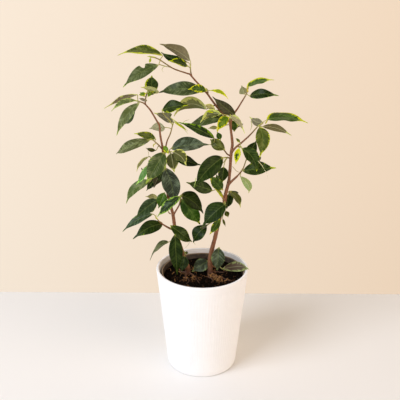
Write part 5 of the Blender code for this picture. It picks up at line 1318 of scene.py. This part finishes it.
def leaf_patterns(material):
    """Patterns that both sides of a blade share, from its painted place and zone in mm.

    The slant is constant along a side vein, which leaves the midrib at about 50 degrees, so noise that
    changes fast with the slant and slowly across the blade draws the streaks between the veins. Gives the
    streak and blotch noise, the share of pale margin, the midrib, the fine side veins and the rim: a thin
    pale band at the edge, partly the leaf's own paler edge and partly a painted highlight where the edge
    catches the light.
    """
    painted = add_node(material, "Attribute", attribute_name="place").outputs["Vector"]
    place = add_node(material, "SeparateXYZ", {0: painted})
    zone = add_node(material, "Attribute", attribute_name="zone").outputs["Vector"]
    zone = add_node(material, "SeparateXYZ", {0: zone})
    across = add_node(material, "Math", {0: place.outputs["X"]}, operation="ABSOLUTE").outputs[0]
    slant = add_node(material, "Math", {0: across, 1: -VEIN_SLANT, 2: place.outputs["Y"]},
                     operation="MULTIPLY_ADD").outputs[0]
    seed = add_node(material, "Math", {0: place.outputs["X"], 1: 0.0}, operation="GREATER_THAN").outputs[0]
    seed = add_node(material, "Math", {0: seed, 1: 7.0, 2: place.outputs["Z"]},
                    operation="MULTIPLY_ADD").outputs[0]
    drawn = add_node(material, "CombineXYZ", {"X": slant, "Y": across, "Z": seed}).outputs[0]
    drawn = add_node(material, "VectorMath", {0: drawn, 1: LEAF_STREAK}, operation="DIVIDE").outputs[0]
    streak = add_node(material, "TexNoise", {"Vector": drawn, "Scale": 1.0, "Detail": 3.0}).outputs["Fac"]
    spot = add_node(material, "VectorMath", {0: painted, 1: LEAF_BLOTCH}, operation="DIVIDE").outputs[0]
    blotch = add_node(material, "TexNoise", {"Vector": spot, "Scale": 1.0, "Detail": 2.0}).outputs["Fac"]
    ragged = add_node(material, "Math", {0: streak, 1: 10.0, 2: zone.outputs["X"]},
                      operation="MULTIPLY_ADD").outputs[0]
    ragged = add_node(material, "Math", {0: blotch, 1: 8.0, 2: ragged}, operation="MULTIPLY_ADD").outputs[0]
    margin = add_node(material, "MapRange", {"Value": ragged, "From Min": 8.5, "From Max": 9.6},
                      interpolation_type="SMOOTHSTEP").outputs[0]
    rib_width = add_node(material, "MapRange", {"Value": zone.outputs["Z"], "To Min": 0.75, "To Max": 0.3}
                         ).outputs[0]
    rib_share = add_node(material, "Math", {0: across, 1: rib_width}, operation="DIVIDE").outputs[0]
    midrib = add_node(material, "MapRange", {"Value": rib_share, "From Min": 1.0, "From Max": 0.45},
                      interpolation_type="SMOOTHSTEP").outputs[0]
    count = add_node(material, "Math", {0: slant, 1: VEIN_STEP}, operation="DIVIDE").outputs[0]
    vein = add_node(material, "Math", {0: count, 1: 1.0}, operation="PINGPONG").outputs[0]
    vein = add_node(material, "MapRange", {"Value": vein, "From Min": 0.2, "From Max": 0.0},
                    interpolation_type="SMOOTHSTEP").outputs[0]
    # Thin pale rim at the edge: partly the leaf's own paler edge, partly a painted highlight where it catches
    # the light
    rim = add_node(material, "MapRange", {"Value": zone.outputs["Y"], "From Min": 0.5, "From Max": 0.15},
                   interpolation_type="SMOOTHSTEP").outputs[0]
    return streak, blotch, margin, midrib, vein, rim


def leaf_upper():
    """Upper side of the blade: waxy and satin, deep green clouded with grey-green along the side veins,
    with a feathered chartreuse margin and a paler midrib in a shallow groove. On the grey, slate and lead
    leaves the grey-green is partly painted sheen, and the thin pale rim at the edge is partly a painted
    highlight."""
    material, shader = new_material("leaf_upper_side")
    streak, blotch, margin, midrib, vein, rim = leaf_patterns(material)
    ground = add_node(material, "Attribute", attribute_name="ground").outputs["Color"]
    pale = add_node(material, "Attribute", attribute_name="rim").outputs["Color"]
    clouds = add_node(material, "Attribute", attribute_name="cloud").outputs["Color"]
    cloud = add_node(material, "Math", {0: streak, 1: blotch}, operation="ADD").outputs[0]
    cloud = add_node(material, "MapRange", {"Value": cloud, "From Min": 0.9, "From Max": 1.25},
                     interpolation_type="SMOOTHSTEP").outputs[0]
    # On the grey, slate and lead leaves the ground and clouds are partly painted sheen
    clouded = add_node(material, "Mix", {0: cloud, 6: ground, 7: clouds}, data_type="RGBA")
    fine = add_node(material, "Math", {0: vein, 1: 0.07}, operation="MULTIPLY").outputs[0]
    veined = add_node(material, "Mix", {0: fine, 6: clouded.outputs[2], 7: linear("8fa56c")},
                      data_type="RGBA")
    light = add_node(material, "Math", {0: midrib, 1: 0.22}, operation="MULTIPLY").outputs[0]
    ribbed = add_node(material, "Mix", {0: light, 6: veined.outputs[2], 7: linear("8f9f4c")},
                      data_type="RGBA")
    bordered = add_node(material, "Mix", {0: margin, 6: ribbed.outputs[2], 7: pale}, data_type="RGBA")
    # Painted highlight, in part: the thin pale rim at the blade's edge
    thin = add_node(material, "Math", {0: rim, 1: 0.16}, operation="MULTIPLY").outputs[0]
    rimmed = add_node(material, "Mix", {0: thin, 6: bordered.outputs[2], 7: pale}, data_type="RGBA")
    relief = add_node(material, "Math", {0: vein, 1: midrib}, operation="ADD").outputs[0]
    bump = add_node(material, "Bump", {"Height": relief, "Strength": 0.25, "Distance": 0.15 * MM},
                    invert=True)
    rough = add_node(material, "MapRange", {"Value": blotch, "To Min": 0.28, "To Max": 0.44})
    feed(material, shader, {"Base Color": rimmed.outputs[2], "Roughness": rough.outputs[0],
                            "Specular IOR Level": 0.1, "Normal": bump.outputs[0]})
    return material


def leaf_under():
    """Underside of the blade: matt and paler, olive to taupe, with raised veins and a pale margin."""
    material, shader = new_material("leaf_underside")
    streak, _, margin, midrib, vein, rim = leaf_patterns(material)
    below = add_node(material, "Attribute", attribute_name="below").outputs["Color"]
    pale = add_node(material, "Attribute", attribute_name="rim").outputs["Color"]
    shade = add_node(material, "MapRange", {"Value": streak, "To Min": 0.7, "To Max": 1.3}).outputs[0]
    varied = add_node(material, "VectorMath", {0: below, "Scale": shade}, operation="SCALE")
    fine = add_node(material, "Math", {0: vein, 1: 0.2}, operation="MULTIPLY").outputs[0]
    veined = add_node(material, "Mix", {0: fine, 6: varied.outputs[0], 7: linear("5f6b45")},
                      data_type="RGBA")
    light = add_node(material, "Math", {0: midrib, 1: 0.6}, operation="MULTIPLY").outputs[0]
    ribbed = add_node(material, "Mix", {0: light, 6: veined.outputs[2], 7: linear("b3b182")},
                      data_type="RGBA")
    washed = add_node(material, "Mix", {0: 0.35, 6: pale, 7: linear("cfd2a4")}, data_type="RGBA")
    bordered = add_node(material, "Mix", {0: margin, 6: ribbed.outputs[2], 7: washed.outputs[2]},
                        data_type="RGBA")
    # Painted highlight, in part: the thin pale rim at the blade's edge
    thin = add_node(material, "Math", {0: rim, 1: 0.2}, operation="MULTIPLY").outputs[0]
    rimmed = add_node(material, "Mix", {0: thin, 6: bordered.outputs[2], 7: washed.outputs[2]},
                      data_type="RGBA")
    relief = add_node(material, "Math", {0: vein, 1: midrib}, operation="ADD").outputs[0]
    bump = add_node(material, "Bump", {"Height": relief, "Strength": 0.4, "Distance": 0.2 * MM})
    feed(material, shader, {"Base Color": rimmed.outputs[2], "Roughness": 0.58, "Specular IOR Level": 0.1,
                            "Normal": bump.outputs[0]})
    return material


def green_stalk():
    """Leaf stalks, young shoots and buds: smooth and waxy, in their painted tone, with fine length lines."""
    material, shader = new_material("green_stalk")
    own = add_node(material, "Attribute", attribute_name="ground").outputs["Color"]
    place = add_node(material, "Attribute", attribute_name="place").outputs["Vector"]
    place = add_node(material, "VectorMath", {0: place, 1: STALK_LINE}, operation="DIVIDE").outputs[0]
    grain = add_node(material, "TexNoise", {"Vector": place, "Scale": 1.0, "Detail": 3.0}).outputs["Fac"]
    shade = add_node(material, "MapRange", {"Value": grain, "To Min": 0.75, "To Max": 1.3}).outputs[0]
    tint = add_node(material, "VectorMath", {0: own, "Scale": shade}, operation="SCALE")
    feed(material, shader, {"Base Color": tint.outputs[0], "Roughness": 0.42})
    return material


def plain_material(name, colour, roughness):
    """A plain studio surface with only a trace of mottling."""
    material, shader = new_material(name)
    place = add_node(material, "TexCoord").outputs["Object"]
    mottle = add_node(material, "TexNoise", {"Vector": place, "Scale": 2.0}).outputs["Fac"]
    darker = tuple(0.97 * part for part in linear(colour)[:3]) + (1.0,)
    tint = add_node(material, "Mix", {0: mottle, 6: linear(colour), 7: darker}, data_type="RGBA")
    feed(material, shader, {"Base Color": tint.outputs[2], "Roughness": roughness})
    return material


def glowing_wall():
    """Cream wall whose glow is painted light, standing in for the room's own lamps; the glow is painted
    darker and warmer towards the right, a painted falloff of the daylight from the left.
    """
    material, shader = new_material("cream_wall")
    place = add_node(material, "TexCoord").outputs["Object"]
    place = add_node(material, "SeparateXYZ", {0: place})
    # Painted light falloff: the wall's glow is darker and warmer towards the right
    right = add_node(material, "MapRange", {"Value": place.outputs["X"], "From Min": -0.7, "From Max": 0.7})
    painted_wall_light = add_node(material, "Mix", {0: right.outputs[0], 6: linear("e8dac9"), 7: linear("dfc8af")},
                    data_type="RGBA")
    feed(material, shader, {"Base Color": linear("6e6559"), "Emission Color": painted_wall_light.outputs[2],
                            "Emission Strength": 1.0, "Roughness": 0.9})
    return material


def slab(name, low, high, material):
    """A box between two corners that isn't part of the object."""
    bpy.ops.mesh.primitive_cube_add(size=1.0)
    piece = bpy.context.object
    piece.name = name
    low, high = np.array(low), np.array(high)
    piece.data.transform(Matrix.Translation((low + high) / 2.0) @ Matrix.Diagonal((*(high - low), 1.0)))
    piece.data.materials.append(material)


def soft_light(name, place, target, size, power, colour):
    """A square area light that faces a target."""
    lamp = bpy.data.lights.new(name, "AREA")
    lamp.size = size
    lamp.energy = power
    lamp.color = linear(colour)[:3]
    light = bpy.data.objects.new(name, lamp)
    light.location = place
    away = Matrix.Translation(place).to_translation() - Matrix.Translation(target).to_translation()
    light.rotation_euler = away.to_track_quat("Z", "Y").to_euler()
    bpy.context.scene.collection.objects.link(light)


def studio():
    """Pale table with its back edge, a warm wall well behind it, soft daylight from the front left and a
    weaker warm light from the front right."""
    slab("table", (-1.6, -1.6, -0.03), (1.6, TABLE_BACK, 0.0), plain_material("pale_table", "eeedea", 0.55))
    slab("wall", (-4.0, WALL_FRONT, -2.0), (4.0, WALL_FRONT + 0.05, 3.5), glowing_wall())
    soft_light("window", (-1.6, -1.3, 1.7), (0.0, 0.0, 0.25), 1.4, 58.0, "eef3ff")
    soft_light("bounce", (1.7, -1.3, 1.0), (0.0, 0.0, 0.2), 1.8, 26.0, "ffe2c8")
    world = bpy.data.worlds.new("daylight")
    world.use_nodes = True
    sky = world.node_tree.nodes["Background"]
    sky.inputs["Color"].default_value = linear("ffffff")
    sky.inputs["Strength"].default_value = 0.3
    bpy.context.scene.world = world


def photo_camera():
    """Camera of the front view: it looks down, with a trace of roll."""
    lens = bpy.data.cameras.new("camera")
    lens.sensor_width = SENSOR_WIDTH
    lens.lens = CAMERA_LENS
    camera = bpy.data.objects.new("camera", lens)
    tilt, roll = math.radians(90.0 - CAMERA_DIP), math.radians(CAMERA_ROLL)
    camera.matrix_world = (Matrix.Translation(EYE * CM) @ Matrix.Rotation(tilt, 4, "X")
                           @ Matrix.Rotation(roll, 4, "Z"))
    bpy.context.scene.collection.objects.link(camera)
    bpy.context.scene.camera = camera


photo_camera()
studio()
cover_pot(satin_glaze())
grow_pot(nursery_plastic())
soil(moist_peat())
litter = strewn_litter("peat_crumbs_and_fibres", 0.9)
strewn("peat_crumbs", 1500, (0.35, 2.2), (1.0, 0.85, 0.7), 0.25, litter, ("0a0705", "2c1c12"))
strewn("bark_bits", 130, (0.8, 2.6), (1.0, 0.55, 0.28), 0.4, litter, ("2c1c12", "7a5636"))
curly_roots(strewn_litter("dry_rootlets", 0.75))
bark = young_bark()
woody_stem("left_stem", LEFT_TRUNK, LEFT_BRANCHES, LEFT_ROOTS, bark)
woody_stem("right_stem", RIGHT_TRUNK, RIGHT_BRANCHES, RIGHT_ROOTS, bark)
foliage = [leaf_upper(), leaf_under(), green_stalk()]
for name, (shoots, leaves) in SPRAYS.items():
    leafy_spray(name, shoots, leaves, foliage)
bpy.context.scene.view_settings.view_transform = "Standard"
